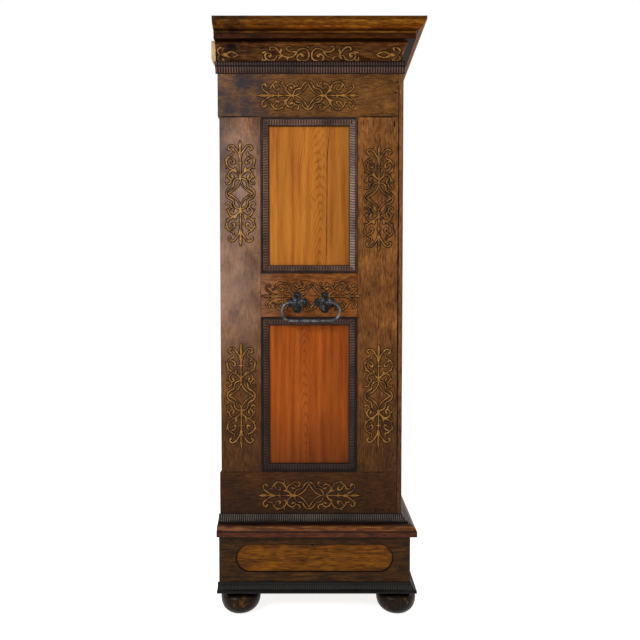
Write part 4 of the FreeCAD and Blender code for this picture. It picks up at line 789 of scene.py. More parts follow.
CROWN_SECTION = [(0, 0, 0), (1.2, 0, 0), (1.5, 1.2, 0), (2.4, 3.4, 1), (3.4, 8, 1), (4.4, 13, 1),
                 (5.4, 18, 1), (6.2, 21.8, 0.6), (5.6, 23.2, 0), (5.6, 24.2, 0), (7.4, 25.4, 0),
                 (9.3, 28.6, 0.7), (10, 33, 0.9), (9.0, 37.4, 0.9), (6.8, 40.8, 0.7),
                 (4.6, 42.4, 0), (4.2, 44, 0), (0, 44, 0)]
CROWN_FOOT_Z, CROWN_OVERHANG = 1.957, 6.5 * MM
rippled_run("crown_ripple", (CROWN_SECTION, 9.4, 2.2), 0, CROWN_FOOT_Z, CROWN_OVERHANG)
WAIST_SECTION = [(0, 0, 0), (22, 0, 0), (22, 4.4, 0), (20.6, 5, 0), (18.6, 6, 1), (15.2, 8, 1),
                 (12, 11, 1), (9.2, 14.6, 1), (7, 18.6, 1), (5.2, 22.4, 1), (4.2, 24.6, 0.4),
                 (2.6, 25.2, 0), (2.5, 27, 0), (0, 27, 0)]
WAIST_FOOT_Z, LOW_OVERHANG = 0.335, 5 * MM
rippled_run("waist_ripple", (WAIST_SECTION, 7.7, 2.4), 0, WAIST_FOOT_Z, LOW_OVERHANG)
BASE_SECTION = [(0, 0, 0), (22, 0, 0), (22, 8, 0), (20, 8.6, 0), (16.6, 10.2, 1), (13, 13.2, 1),
                (9.6, 17.2, 1), (6.8, 21.6, 1), (4.8, 26.4, 1), (3.8, 30, 0.5), (2.5, 31, 0),
                (2.5, 33, 0), (0, 33, 0)]
BASE_FOOT_Z, BASE_STEP = 0.088, 28 * MM
rippled_run("base_ripple", (BASE_SECTION, 6.4, 1.8), BASE_STEP, BASE_FOOT_Z, LOW_OVERHANG)

# %% [markdown]
# ## Arabesques
#
# The flat frames carry one repeated ornament: strapwork about 375 mm long, the same on both sides
# of both its axes, so a quarter of it is enough to draw. Each line is a smooth stroke that swells
# and thins like a leaf or a pen line. A stroke becomes a low half-round ridge of paste with a
# narrow dark strip along each edge, a painted shadow. The mesh is made once and used again on
# every stile and rail.

# %% Strokes
QUARTER_STROKES = [
    ([(42, 1), (33, 5), (25, 10), (17, 18), (10, 27), (4, 36), (0, 44)], 1.6, 1.6, False),
    ([(53, 2), (51, 12), (46, 20), (37, 24), (28, 25), (22, 30), (17, 40), (9, 47), (0, 50)],
     1.8, 1.8, False),
    ([(60, 0), (64, 3), (69, 8), (76, 15), (84, 21)], 2.0, 2.2, False),
    ([(76, 14), (83, 18), (93, 18)], 3.6, 3.6, True),
    ([(82, 20), (85, 31), (92, 41), (101, 47), (111, 49), (121, 46), (129, 40), (134, 32),
      (136, 24)], 2.0, 1.8, False),
    ([(128, 40), (124, 32), (119, 24), (113, 20), (107, 22), (106, 29), (112, 32)], 1.8, 1.5,
     False),
    ([(103, 25), (108, 22), (113, 21)], 3.2, 3.2, True),
    ([(95, 44), (90, 48), (91, 53)], 1.5, 1.0, False),
    ([(111, 49), (117, 52), (122, 51)], 1.6, 1.0, False),
    ([(70, 9), (78, 20), (79, 31), (72, 39), (62, 42), (53, 38), (49, 31), (54, 25), (60, 28)],
     2.0, 1.5, False),
    ([(64, 30), (58, 27), (54, 27)], 3.2, 3.2, True),
    ([(50, 33), (42, 33), (36, 37), (33, 44), (36, 49), (41, 47)], 1.9, 1.4, False),
    ([(62, 42), (58, 48), (52, 49)], 1.6, 1.0, False),
    ([(130, 1), (139, 4), (148, 10), (157, 16), (165, 23), (168, 32), (164, 40), (156, 42),
      (153, 36)], 2.3, 1.7, False),
    ([(158, 39), (154, 37), (150, 33)], 2.8, 2.8, True),
    ([(136, 24), (142, 25), (148, 23)], 1.6, 1.2, False),
    ([(107, 0), (107, 5), (107, 10)], 1.8, 1.4, False),
    ([(38, 0), (60, 0), (90, 0), (120, 0), (142, 0)], 1.8, 2.0, False),
    ([(142, 0), (152, 0), (162, 0), (172, 0), (187, 0)], 3.4, 3.4, True),
    ([(124, 0), (131, 0), (138, 0), (146, 0)], 4.8, 4.8, True),
    ([(48, 0), (56, 0), (64, 0), (72, 0)], 3.4, 3.4, True),
    ([(166, 0), (171, 0), (176, 0)], 4.4, 4.4, True),
]
PASTE_HEIGHT = 2.0 * MM
PASTE_SHADOW_WIDTH = 3.0 * MM
STROKE_SWELL = 1.15
STROKE_STEPS = 4
# Points marked 1 in the third place spread into the dark strips of painted shadow beside the
# ridge.
RIDGE = ((-1, 0.06, 1), (-1, 0.2, 0), (-0.6, 0.82, 0), (0, 1.0, 0), (0.6, 0.82, 0), (1, 0.2, 0),
         (1, 0.06, 1))
ALL_QUARTERS = ((1, 1), (1, -1), (-1, 1), (-1, -1))


def smooth_line(points, steps=STROKE_STEPS):
    """A Catmull-Rom line through three points or more."""
    points = [Vector(point) for point in points]
    padded = [2 * points[0] - points[1]] + points + [2 * points[-1] - points[-2]]
    line = []
    for number in range(1, len(padded) - 2):
        before, start, stop, after = padded[number - 1:number + 3]
        for step in range(steps):
            t = step / steps
            line.append(0.5 * (2 * start + (stop - before) * t
                               + (2 * before - 5 * start + 4 * stop - after) * t * t
                               + (3 * start - before - 3 * stop + after) * t * t * t))
    return line + [points[-1]]


def beside(line):
    """Each point of a flat line, the direction to its left, and its share of the way along."""
    for number, point in enumerate(line):
        ahead = line[min(len(line) - 1, number + 1)] - line[max(0, number - 1)]
        tangent = ahead.normalized()
        yield point, Vector((-tangent.y, tangent.x)), number / (len(line) - 1)


def ridge(mesh, line, first_width, last_width, leaf, lay):
    """A half-round ridge along a line in mm, between two dark strips that paint its shadow."""
    rows = []
    for point, normal, share in beside(line):
        half = (first_width + (last_width - first_width) * share) * STROKE_SWELL
        if leaf:
            half = max(0.3, half * math.sin(math.pi * (0.12 + 0.86 * share)) ** 0.7)
        elif share in (0, 1):
            half *= 0.6
        row = []
        for across, up, edge_shadow in RIDGE:
            place = point * MM + normal * (across * (half * MM + edge_shadow * PASTE_SHADOW_WIDTH))
            row.append(mesh.verts.new(lay(place.x, place.y, up * PASTE_HEIGHT)))
        rows.append(row)
    strips = len(RIDGE) - 1
    for place, face in enumerate(skin(mesh, rows)):
        face.material_index = int(place % strips in (0, strips - 1))


def flat(x, y, h):
    return (x, y, h)


def ornament(name, strokes, lay=flat, mirrors=ALL_QUARTERS):
    """A mesh of strokes: (points in mm, first and last half width in mm, leaf or not)."""
    mesh = bmesh.new()
    for points, first_width, last_width, leaf in strokes:
        on_axis = all(abs(point[1]) < 0.01 for point in points)
        for flip_x, flip_y in mirrors:
            if on_axis and flip_y < 0:
                continue
            line = smooth_line([(x * flip_x, y * flip_y) for x, y in points])
            ridge(mesh, line, first_width, last_width, leaf, lay)
    return as_mesh(mesh, name, PASTE, PASTE_SHADOW)


ARABESQUE = ornament("arabesque", QUARTER_STROKES)
print("arabesque", len(ARABESQUE.vertices), "vertices")


def lay_arabesque(name, body, centre, along, out, scale, paste):
    """The shared ornament, turned into its place, in a paste of its own tone."""
    across = Vector(out).cross(Vector(along))
    matrix = axes(centre, along, across, out) @ Matrix.Diagonal((scale, scale, 1, 1))
    piece = put(name, ARABESQUE, body, matrix)
    piece.material_slots[0].link = "OBJECT"
    piece.material_slots[0].material = paste


def spot(px, py, plane_x=-HALF_WIDTH):
    """Where a pixel of the photograph meets a plane of the side: (y, z)."""
    ray_y = (px - PICTURE_PIXELS / 2) / FOCAL_PIXELS
    ray_up = (PICTURE_PIXELS / 2 - py) / FOCAL_PIXELS
    cos_tip, sin_tip = math.cos(CAMERA_TIP), math.sin(CAMERA_TIP)
    forward = cos_tip + ray_up * sin_tip
    rise = ray_up * cos_tip - sin_tip
    reach = (plane_x - CAMERA_PLACE[0]) / forward
    return CAMERA_PLACE[1] - ray_y * reach, CAMERA_PLACE[2] + rise * reach


ARABESQUE_LENGTH = 0.374
SIDE_MOTIFS = {
    "top_rail": ((256.6, 81), (359, 110), "rail", PASTE),
    "upper_back_stile": ((226.7, 140), (254, 246.6), "stile", PALE_PASTE),
    "upper_front_stile": ((364.9, 144), (393, 252), "stile", BROWN_PASTE),
    "middle_rail": ((261, 281.4), (361.5, 311), "rail", BROWN_PASTE),
    "lower_back_stile": ((227, 343), (255.4, 448), "stile", PASTE),
    "lower_front_stile": ((364, 344), (393, 447.5), "stile", PASTE),
    "bottom_rail": ((258, 480), (360, 511), "rail", BROWN_PASTE),
}
for motif, (low, high, kind, paste) in SIDE_MOTIFS.items():
    first, last = spot(*low), spot(*high)
    y, z = (first[0] + last[0]) / 2, (first[1] + last[1]) / 2
    size = abs(last[0] - first[0]) if kind == "rail" else abs(last[1] - first[1])
    print(motif, "y", round(y, 4), "z", round(z, 4), "size", round(size, 4))
    for side, sign in SIDES.items():
        lay_arabesque("arabesque_%s_%s" % (motif, side), "carcass", (sign * HALF_WIDTH, y, z),
                      (0, 1, 0) if kind == "rail" else (0, 0, 1), (sign, 0, 0),
                      size / ARABESQUE_LENGTH, paste)

# %% [markdown]
# ## The same ornament on the front
#
# The front isn't in the photograph. On wardrobes of this kind it carries the same pressed
# strapwork as the sides, so the shared mesh goes on the door frames and the corner posts too,
# and rides on whatever it is glued to.

# %% Front ornaments
DOOR_FREE_X = 0.048
DOOR_HINGE_X = 0.757
DOOR_STILE = 0.115
POST_WIDTH = 0.130
STILE_SCALE, CENTRE_POST_SCALE = 0.98, 0.78
LOWER_LEVEL, UPPER_LEVEL = 0.801, 1.5245
BOTTOM_RAIL_Z, MIDDLE_RAIL_Z, TOP_RAIL_Z = 0.4535, 1.165, 1.864
UPRIGHT, LEVEL, TO_FRONT = (0, 0, 1), (1, 0, 0), (0, -1, 0)
for side, sign in SIDES.items():
    door = "door_" + side
    for place, stile_x in (("hinge", DOOR_HINGE_X - DOOR_STILE / 2),
                           ("lock", DOOR_FREE_X + DOOR_STILE / 2)):
        for level, z in (("lower", LOWER_LEVEL), ("upper", UPPER_LEVEL)):
            lay_arabesque("arabesque_%s_%s_%s" % (place, level, door), door,
                          (sign * stile_x, FRONT_Y, z), UPRIGHT, TO_FRONT, STILE_SCALE, PASTE)
    middle_x = (DOOR_FREE_X + DOOR_HINGE_X) / 2
    for level, z, paste in (("bottom", BOTTOM_RAIL_Z, BROWN_PASTE),
                            ("middle", MIDDLE_RAIL_Z, PASTE), ("top", TOP_RAIL_Z, PASTE)):
        lay_arabesque("arabesque_rail_%s_%s" % (level, door), door,
                      (sign * middle_x, FRONT_Y, z), LEVEL, TO_FRONT, 1.0, paste)
    post_x = HALF_WIDTH - POST_WIDTH / 2
    for level, z in (("low", LOWER_LEVEL), ("high", UPPER_LEVEL)):
        lay_arabesque("arabesque_post_%s_%s" % (level, side), "carcass",
                      (sign * post_x, FRONT_Y, z), UPRIGHT, TO_FRONT, 1.0, BROWN_PASTE)
centre_front_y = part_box("centre_post")[0].y
for level, z in (("low", LOWER_LEVEL), ("high", UPPER_LEVEL)):
    lay_arabesque("arabesque_centre_" + level, "carcass", (0, centre_front_y, z), UPRIGHT,
                  TO_FRONT, CENTRE_POST_SCALE, PASTE)
print("front ornaments on both doors and posts")

# %% [markdown]
# ## The frieze ornament
#
# The hollow frieze under the cornice carries a longer spray: two spirals, a stem with leaves and
# a second spiral at the end, mirrored about the middle, with a small bracket and a pointed leaf
# at each end of the side. The frieze is coved, so each point of a stroke is cast onto the CAD
# moulding with a ray, and stands out from it along the surface's own direction.

# %% Frieze
FRIEZE_STROKES = [
    ([(50, 13.5), (38.8, 19.7), (27.7, 22.5), (18, 21.5), (12.4, 17.7), (6.1, 6.5), (5.4, -6),
      (8.9, -17.1), (17.9, -24), (30.4, -26.8), (41.6, -24), (47.8, -15.7), (46.4, -6),
      (40.2, 1), (31.8, 3), (26, -1)], 2.0, 2.6, False),
    ([(23, -7), (28, -3), (35, 2)], 5.2, 5.2, True),
    ([(50, 13.5), (61, 10.7), (73.5, 12.1), (83.3, 19), (85, 27), (79, 30), (71, 27)], 2.4, 1.6,
     False),
    ([(46, 14), (50, 6.5), (56.9, -1.8), (66.6, -8.8), (80.5, -10.1), (91.6, -7.4), (100, -3.2),
      (109.7, 7.9), (118, 19), (127.7, 26), (138.9, 28), (145.8, 23.2), (143, 16.3)], 2.6, 2.2,
     False),
    ([(109, 8), (105, 15), (103, 24)], 3.8, 3.8, True),
    ([(100, -4), (109.7, -3.2), (118, -1.8), (122, -8.8), (126.4, -17.1), (134.7, -23.4),
      (144.4, -24.7), (154.2, -19.9), (161, -11.5), (162.5, -1.8), (157, 5.1), (147, 5.8),
      (141.6, 1), (144, -5)], 2.2, 2.6, False),
    ([(140, -3), (146, -6), (151, -3)], 4.0, 4.0, True),
    ([(150, 11), (162, 10.5), (176, 6)], 3.4, 3.4, True),
    ([(158, -20), (166, -23), (176, -24)], 3.4, 3.4, True),
    ([(174, -9), (172, -16), (172, -22)], 2.6, 2.6, True),
    ([(81, -11), (82, -17), (82, -24)], 3.4, 3.4, True),
    ([(100, -5), (109.7, -11.5), (114, -19)], 3.2, 3.2, True),
    ([(5, 25), (8.2, 28), (12, 28)], 3.2, 3.2, True),
]
END_LEAF_STROKES = [
    ([(0, 0), (8, 5), (18, 9), (30, 11), (40, 8), (48, 5)], 1.8, 2.4, False),
    ([(44, 0), (56, 0), (72, 0)], 6.0, 6.0, True),
    ([(58, 22), (65, 25), (72, 26), (82, 22), (88, 14.5), (85, 8), (80, 2), (77, 0)], 2.4, 2.2,
     False),
    ([(62, 24), (64, 19), (65, 14)], 2.6, 2.6, True),
]
frieze_tree = BVHTree.FromObject(NODES["crown_frieze"], bpy.context.evaluated_depsgraph_get())
FRIEZE_Z = 2.0261
FRIEZE_SPAN = (2.003, 2.058)
FRIEZE_SQUEEZE = 0.88
FAR_OUT = 1.5


def on_frieze(side, centre, turn=1):
    """A way of laying strokes on the frieze of the left side, right side or front."""
    def lay(x, y, h):
        z = min(max(FRIEZE_Z + FRIEZE_SQUEEZE * y, FRIEZE_SPAN[0]), FRIEZE_SPAN[1])
        if side == "front":
            start, ray = Vector((centre + turn * x, -FAR_OUT, z)), Vector((0, 1, 0))
        else:
            start = Vector((SIDES[side] * FAR_OUT, centre - turn * x, z))
            ray = Vector((-SIDES[side], 0, 0))
        hit, normal, _, _ = frieze_tree.ray_cast(start, ray)
        if normal.dot(ray) > 0:
            normal = -normal
        return hit + normal * h
    return lay


MIRROR_ENDS = ((1, 1), (-1, 1))
MIRROR_SIDES = ((1, 1), (1, -1))
FRIEZE_PIXEL, MIDDLE_PIXEL = 54.8, 310.4
LEAF_PIXELS = {"back": (237.6, -0.82), "front": (376.6, 0.97)}
FRONT_SPRAYS_X = (-0.56, 0.0, 0.56)
FRONT_LEAVES_X = ((-0.82, -1), (-0.24, 1), (0.24, -1), (0.82, 1))
LEAF_SETBACK = 0.04


def frieze_piece(name, strokes, mirrors, side, centre, turn=1):
    data = ornament(name, strokes, on_frieze(side, centre, turn), mirrors)
    put(name, data, "carcass")


for side in SIDES:
    frieze_piece("frieze_spray_" + side, FRIEZE_STROKES, MIRROR_ENDS, side,
                 spot(MIDDLE_PIXEL, FRIEZE_PIXEL)[0])
    for end, (pixel, turn) in LEAF_PIXELS.items():
        frieze_piece("frieze_leaf_%s_%s" % (end, side), END_LEAF_STROKES, MIRROR_SIDES, side,
                     spot(pixel, FRIEZE_PIXEL)[0], turn)
for number, x in enumerate(FRONT_SPRAYS_X):
    frieze_piece("frieze_spray_front_%d" % number, FRIEZE_STROKES, MIRROR_ENDS, "front", x)
for number, (x, turn) in enumerate(FRONT_LEAVES_X):
    frieze_piece("frieze_leaf_front_%d" % number, END_LEAF_STROKES, MIRROR_SIDES, "front",
                 x - turn * LEAF_SETBACK, turn)
print("frieze at z", FRIEZE_Z)

# %% [markdown]
# ## Open joints, cracks, flecks and nail holes
#
# Old glue joints open as the boards shrink across the grain, panels split, and nails leave holes.
# All of them are thin dark slivers with pointed ends, and their edges wander. They are laid 0.15
# mm over the board as narrow strips, so no CAD board has to be cut.

# %% Slivers
SLIVER_LIFT = 0.15 * MM


def sliver(mesh, line, half_mm, to_space, out):
    """A dark strip with pointed ends along a line of (across, up) points, in metres."""
    rows = []
    for point, normal, share in beside(line):
        half = half_mm * MM * random.uniform(0.75, 1.2)
        half *= max(0.08, math.sin(math.pi * share) ** 0.4)
        rows.append([mesh.verts.new(to_space(point + normal * half * edge) + out * SLIVER_LIFT)
                     for edge in (-1, 1)])
    skin(mesh, rows, smooth=False)


def straight(first, last, steps=14, wander_mm=0.25):
    """A line from first to last that wanders a little."""
    first, last = Vector(first), Vector(last)
    line = []
    for step in range(steps + 1):
        jitter = Vector((random.uniform(-1, 1), random.uniform(-1, 1))) * wander_mm * MM
        line.append(first.lerp(last, step / steps) + jitter)
    return line


def seen_mark(first, last, half_mm, face_x, steps, wander_mm=0.25):
    """A mark between two pixels of the photograph, on a face of the side."""
    return straight(spot(*first, -face_x), spot(*last, -face_x), steps, wander_mm), half_mm


def dark_marks(name, body, marks, material, to_space, out):
    """One piece of slivers, from (line, half width in mm) pairs."""
    mesh = bmesh.new()
    for line, half_mm in marks:
        sliver(mesh, line, half_mm, to_space, Vector(out))
    put(name, as_mesh(mesh, name, material, outward=False), body)


# %% [markdown]
# ## Where the marks are
#
# The joints follow the frame's own boards. The rest was found in the photograph: a pixel there
# is one place on a known face of the side, and the far side gets the same marks. A mark's width
# is given as half of what shows, in millimetres. The hairlines in the oval field lie under its
# amber leaf, so they don't show. The back boards get a joint between each two.

# %% Marks on the sides
BASE_SIDE_X, OVAL_DEPTH, CRACK_X = 0.918, 0.005, 0.9126
STILE_Y = (-0.2925, -0.1455, 0.2055, 0.3525)
OPENING_Z = (0.516, 1.086, 1.244, 1.805)
POST_JOINT = ((STILE_Y[0], 0.363), (STILE_Y[0], 1.956))
LOW_JOINT_MM, TOP_JOINT_MM, MIDDLE_JOINT_MM, POST_JOINT_MM = 1.1, 2.3, 0.6, 2.5
joints = []
for low_y, high_y in (STILE_Y[:2], STILE_Y[2:]):
    for z, half_mm in ((OPENING_Z[0], LOW_JOINT_MM), (OPENING_Z[3], TOP_JOINT_MM)):
        joints.append((straight((low_y, z), (high_y, z)), half_mm))
for y in STILE_Y[1:3]:
    joints.append((straight((y, OPENING_Z[1]), (y, OPENING_Z[2])), MIDDLE_JOINT_MM))
joints.append((straight(*POST_JOINT, 60), POST_JOINT_MM))

SPLIT_PIXELS = ((330, 126), (328.6, 142), (327.2, 160), (327, 200), (326.6, 240), (326.2, 266))
HAIRLINES = (((342, 322), (342.4, 402), 20), ((309.4, 431), (309.8, 462), 8))
SPLIT_MM, HAIRLINE_MM = 1.1, 0.5
splits = [(smooth_line([spot(*pixel, -PANEL_FACE) for pixel in SPLIT_PIXELS], 6), SPLIT_MM)]
splits += [seen_mark(top, foot, HAIRLINE_MM, PANEL_FACE, steps)
           for top, foot, steps in HAIRLINES]
FLECKS = ((319.3, 153, 3), (317.4, 160.5, 3.5), (319.3, 168, 3.5), (319.3, 175, 3),
          (320.4, 184.5, 3.5), (321, 204, 3), (321.5, 219, 2.5), (313, 199, 2.5))
FLECK_MM, NAIL_MM, BASE_NAIL_MM, OVAL_CRACK_MM = 1.3, 2.6, 2.4, 0.8
flecks = [seen_mark((px - 1.4, py - tall), (px + 1.6, py + tall), FLECK_MM, PANEL_FACE, 5, 0.4)
          for px, py, tall in FLECKS]
NAILS = ((397, 82, 1.6), (396, 93, 1.3), (394.4, 124, 3.7),
         (389, 509.5, 1.0), (382, 510.5, 0.9), (375, 510, 1.1))
nails = [seen_mark((px, py - tall), (px + 0.2, py + tall), NAIL_MM, HALF_WIDTH, 4, 0.5)
         for px, py, tall in NAILS]
BASE_NAILS = ((312.2, 544.8, 1.0), (373.6, 543.8, 1.0), (233, 566, 0.8))
base_nails = [seen_mark((px - wide, py), (px + wide, py), BASE_NAIL_MM, BASE_SIDE_X, 4, 0.4)
              for px, py, wide in BASE_NAILS]
OVAL_CRACKS = ((368.5, 384, 556.5), (362, 371, 549), (372, 381, 566))
oval_cracks = [seen_mark((first, py), (last, py), OVAL_CRACK_MM, BASE_SIDE_X - OVAL_DEPTH,
                         9, 0.5)
               for first, last, py in OVAL_CRACKS]
SIDE_MARKS = {
    "nail_holes": (nails, CRACK, HALF_WIDTH),
    "base_nails": (base_nails, CRACK, BASE_SIDE_X),
    "oval_cracks": (oval_cracks, CRACK, CRACK_X),
    "open_joints": (joints, CRACK, HALF_WIDTH),
    "panel_splits": (splits, CRACK, PANEL_FACE),
    "resin_flecks": (flecks, RESIN, PANEL_FACE),
}
for side, sign in SIDES.items():
    for kind, (marks, material, face_x) in SIDE_MARKS.items():
        dark_marks("%s_%s" % (kind, side), "carcass", marks, material,
                   lambda p: Vector((sign * face_x, p.x, p.y)), (sign, 0, 0))
print({kind: len(marks[0]) for kind, marks in SIDE_MARKS.items()}, "on each side")

# %% Joints of the back boards
BACK_BOARDS, BACK_JOINT_MM, BOARD_END = 8, 1.0, 0.002
back_low, back_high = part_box("back_boards")
back_joints = []
for number in range(1, BACK_BOARDS):
    x = back_low.x + (back_high.x - back_low.x) * number / BACK_BOARDS
    back_joints.append((straight((x, back_low.z + BOARD_END), (x, back_high.z - BOARD_END), 50),
                        BACK_JOINT_MM))
dark_marks("back_board_joints", "carcass", back_joints, CRACK,
           lambda p: Vector((p.x, back_high.y, p.y)), (0, 1, 0))
print(len(back_joints), "joints between the back boards")

# %% [markdown]
# ## Oval fields
#
# The base boards and drawer fronts have long ovals sunk into them. Their fields kept the amber
# of the first finish, because cloths and dust didn't reach them in the same way. A dark line along
# the foot of the step is a painted shadow of the step. Each field is a thin leaf over the sunk
# face.

# %% Ovals
OVAL_Z = 0.2075
OVAL_HEIGHT = 0.104
OVAL_STEPS = 24
FIELD_INSET, STEP_SHADOW_INSETS = 0.3 * MM, (0.2 * MM, 3.6 * MM)
BASE_FRONT_Y = -0.3375
BASE_OVAL_LENGTH, DRAWER_OVAL_LENGTH = 0.5735, 0.629
BASE_MIDDLE_Y, DRAWER_MIDDLE_X = 0.01025, 0.4225


def oval_line(length, inset):
    """A long oval with half-round ends, as a closed line round its own middle."""
    radius = OVAL_HEIGHT / 2 - inset
    straight_half = (length - OVAL_HEIGHT) / 2
    line = []
    for sign, start in ((1, -math.pi / 2), (-1, math.pi / 2)):
        for step in range(OVAL_STEPS + 1):
            turn = start + math.pi * step / OVAL_STEPS
            line.append(Vector((sign * straight_half + radius * math.cos(turn),
                                radius * math.sin(turn))))
    return line


def oval_field(name, body, length, to_space, out, grain):
    """The amber leaf in a sunk oval, and a dark ring at the foot of its step that paints its
    shadow.
    """
    mesh = bmesh.new()
    mesh.faces.new([mesh.verts.new(to_space(p) + out * SLIVER_LIFT)
                    for p in oval_line(length, FIELD_INSET)])
    put(name, as_mesh(mesh, name, WOODS["amber_oval_field", grain]), body)
    # Painted shadow: a dark ring at the foot of the oval's step.
    mesh = bmesh.new()
    skin(mesh, [[mesh.verts.new(to_space(p) + out * 2 * SLIVER_LIFT)
                 for p in oval_line(length, inset)] for inset in STEP_SHADOW_INSETS],
         closed=True, smooth=False)
    put(name + "_dirt", as_mesh(mesh, name + "_dirt", CRACK), body)


for side, sign in SIDES.items():
    oval_field("oval_field_base_" + side, "carcass", BASE_OVAL_LENGTH,
               lambda p: Vector((sign * (BASE_SIDE_X - OVAL_DEPTH), BASE_MIDDLE_Y + p.x,
                                 OVAL_Z + p.y)), Vector((sign, 0, 0)), "Y")
    oval_field("oval_field_drawer_" + side, "drawer_" + side, DRAWER_OVAL_LENGTH,
               lambda p: Vector((sign * DRAWER_MIDDLE_X + p.x, BASE_FRONT_Y + OVAL_DEPTH,
                                 OVAL_Z + p.y)), Vector((0, -1, 0)), "X")
print("oval fields", BASE_OVAL_LENGTH, "and", DRAWER_OVAL_LENGTH, "long")

# %% [markdown]
# ## Turned and forged pieces
#
# Three makers' tools are left: the lathe for feet and knobs, the hammer for the iron rods, and
# the punch for the rosettes. A turned piece is an outline spun round its axis, a forged rod is a
# round section swept along a line with its thickness given at each point, and a punched rosette
# is a disc whose height depends on angle and radius.


# %% Lathe and forge
LATHE_STEPS = 3
ROD_SIDES = 14


def turns(count):
    """The angles of equal steps round a full turn."""
    return [2 * math.pi * number / count for number in range(count)]


def lathe(name, profile, sides, material):
    """An outline of (radius, height) in mm, spun round Z."""
    mesh = bmesh.new()
    rows = []
    for point in smooth_line(profile, LATHE_STEPS):
        radius = max(point.x, 0) * MM
        rows.append([mesh.verts.new((radius * math.cos(t), radius * math.sin(t), point.y * MM))
                     for t in turns(sides)])
    skin(mesh, rows, closed=True)
    data = as_mesh(mesh, name, material, merge_mm=0.01)
    print(name, len(data.vertices), "vertices")
    return data


def forged_rod(mesh, points, radii):
    """A rod swept along points in metres, with a radius at each, closed at both ends."""
    side = (points[1] - points[0]).normalized().orthogonal().normalized()
    rows = []
    for number, (point, radius) in enumerate(zip(points, radii)):
        before = points[max(0, number - 1)]
        after = points[min(len(points) - 1, number + 1)]
        tangent = (after - before).normalized()
        side = (side - tangent * side.dot(tangent)).normalized()
        up = tangent.cross(side)
        rows.append([mesh.verts.new(point + side * radius * math.cos(t)
                                    + up * radius * math.sin(t)) for t in turns(ROD_SIDES)])
    skin(mesh, rows, closed=True)
    for row in (rows[0], rows[-1]):
        mesh.faces.new(row)


def closed_rod(mesh, points, radius, sides=12, widen=1.0):
    """A ring swept along a closed line round the Y axis, and made wider along that axis."""
    centre = sum(points, Vector()) / len(points)
    wide = Vector((0, radius * widen, 0))
    rows = []
    for point in points:
        outward = (point - centre).normalized()
        rows.append([mesh.verts.new(point + outward * radius * math.cos(t) + wide * math.sin(t))
                     for t in turns(sides)])
    skin(mesh, rows + rows[:1], closed=True)


# %% [markdown]
# ## Bun feet
#
# The feet are balls turned from one block and pressed flat by their own look: widest above half
# height, with a short neck under the base. They were blacked, and kicks and brooms have worn
# them back to tan on the corners.

# %% Feet
FOOT_PROFILE = [(0, 0), (24, 0), (33, 0), (49, 4.5), (59, 12), (66.5, 22), (70.6, 33),
                (72.6, 44), (72.8, 54), (71, 63), (65, 71), (55, 77), (46, 79.6), (42, 80.8),
                (42, 84), (42, 88)]
FOOT_X = 0.872
FOOT_ROWS_Y = {"front": -0.2915, "back": 0.285}
foot_data = lathe("bun_foot", FOOT_PROFILE, 64, WOODS["worn_black_foot", "Z"])
for row, y in FOOT_ROWS_Y.items():
    for side, sign in SIDES.items():
        turn = Matrix.Rotation(random.randrange(4) * math.pi / 2, 4, "Z")
        put("bun_foot_%s_%s" % (row, side), foot_data, "carcass",
            Matrix.Translation((sign * FOOT_X, y, 0)) @ turn,
            replaces=["bun_feet"])

# %% [markdown]
# ## The carrying handle
#
# Two people carried the case by iron drop bails. Each end of the bail passes through an eye that
# is riveted through a rosette of four pointed petals. The bail is a rod with a small knob at each
# end, and it is a little thicker where hands take it.

# %% Handle
HANDLE_Y, HANDLE_Z = 0.0235, 1.139
BAIL_X = 0.916
EYE_SPACING, EYE_RADIUS, EYE_WIRE, EYE_WIDEN = 0.050, 7.2 * MM, 2.4 * MM, 1.7
NECK_MM = ((3, 8), (8, 6), (13, 4.6), (17.5, 4.2))
BAIL_FLAT, BAIL_RADIUS = 0.0715, 0.033
BAIL_TIP_MM = ((37.5, 1.0), (38.2, 3.4), (39.8, 5.6), (41.8, 6.2), (43.6, 5.4), (44.8, 4.4),
               (55.5, 4.4), (63, 4.5))
BAIL_ARC_MM = (4.6,) * 5 + (4.9,) * 5 + (5.2,) * 5
BAIL_GRIP_MM = ((45, 5.5), (20, 5.9))
ROSETTE_RINGS, ROSETTE_SPOKES = 14, 72
ROSETTE_WAIST_MM, ROSETTE_PETAL_MM, ROSETTE_EDGE_MM = 19, 21, 1.5
PETAL_KNOB, PETAL_CREASE, ROSETTE_BOSS = (12.0, 29, 8.5), (2.0, 17, 5.0), (5.0, 0, 11)


def swell(bump, radius_mm):
    """The height in mm of a round swelling (height, middle, spread) at a radius."""
    height, middle, spread = bump
    return height * math.exp(-((radius_mm - middle) / spread) ** 2)


def rosette(mesh, centre, out):
    """A punched quatrefoil: petals at the four quarters, a boss in the middle."""
    rows = []
    for ring in range(ROSETTE_RINGS + 1):
        share = ring / ROSETTE_RINGS
        row = []
        for angle in turns(ROSETTE_SPOKES if ring else 1):
            petal = abs(math.cos(2 * angle)) ** 0.8
            radius_mm = (ROSETTE_WAIST_MM + ROSETTE_PETAL_MM * petal ** 1.3) * share
            height_mm = (ROSETTE_EDGE_MM + swell(PETAL_KNOB, radius_mm) * petal ** 1.6
                         + swell(PETAL_CREASE, radius_mm) * petal ** 8
                         + swell(ROSETTE_BOSS, radius_mm)) * (1 - share ** 5)
            place = Vector((0, math.cos(angle), math.sin(angle))) * radius_mm * MM
            row.append(mesh.verts.new(centre + place + out * height_mm * MM))
        rows.append(row)
    for number, start in enumerate(rows[1]):
        after = rows[1][(number + 1) % ROSETTE_SPOKES]
        mesh.faces.new((rows[0][0], start, after)).smooth = True
    skin(mesh, rows[1:], closed=True)


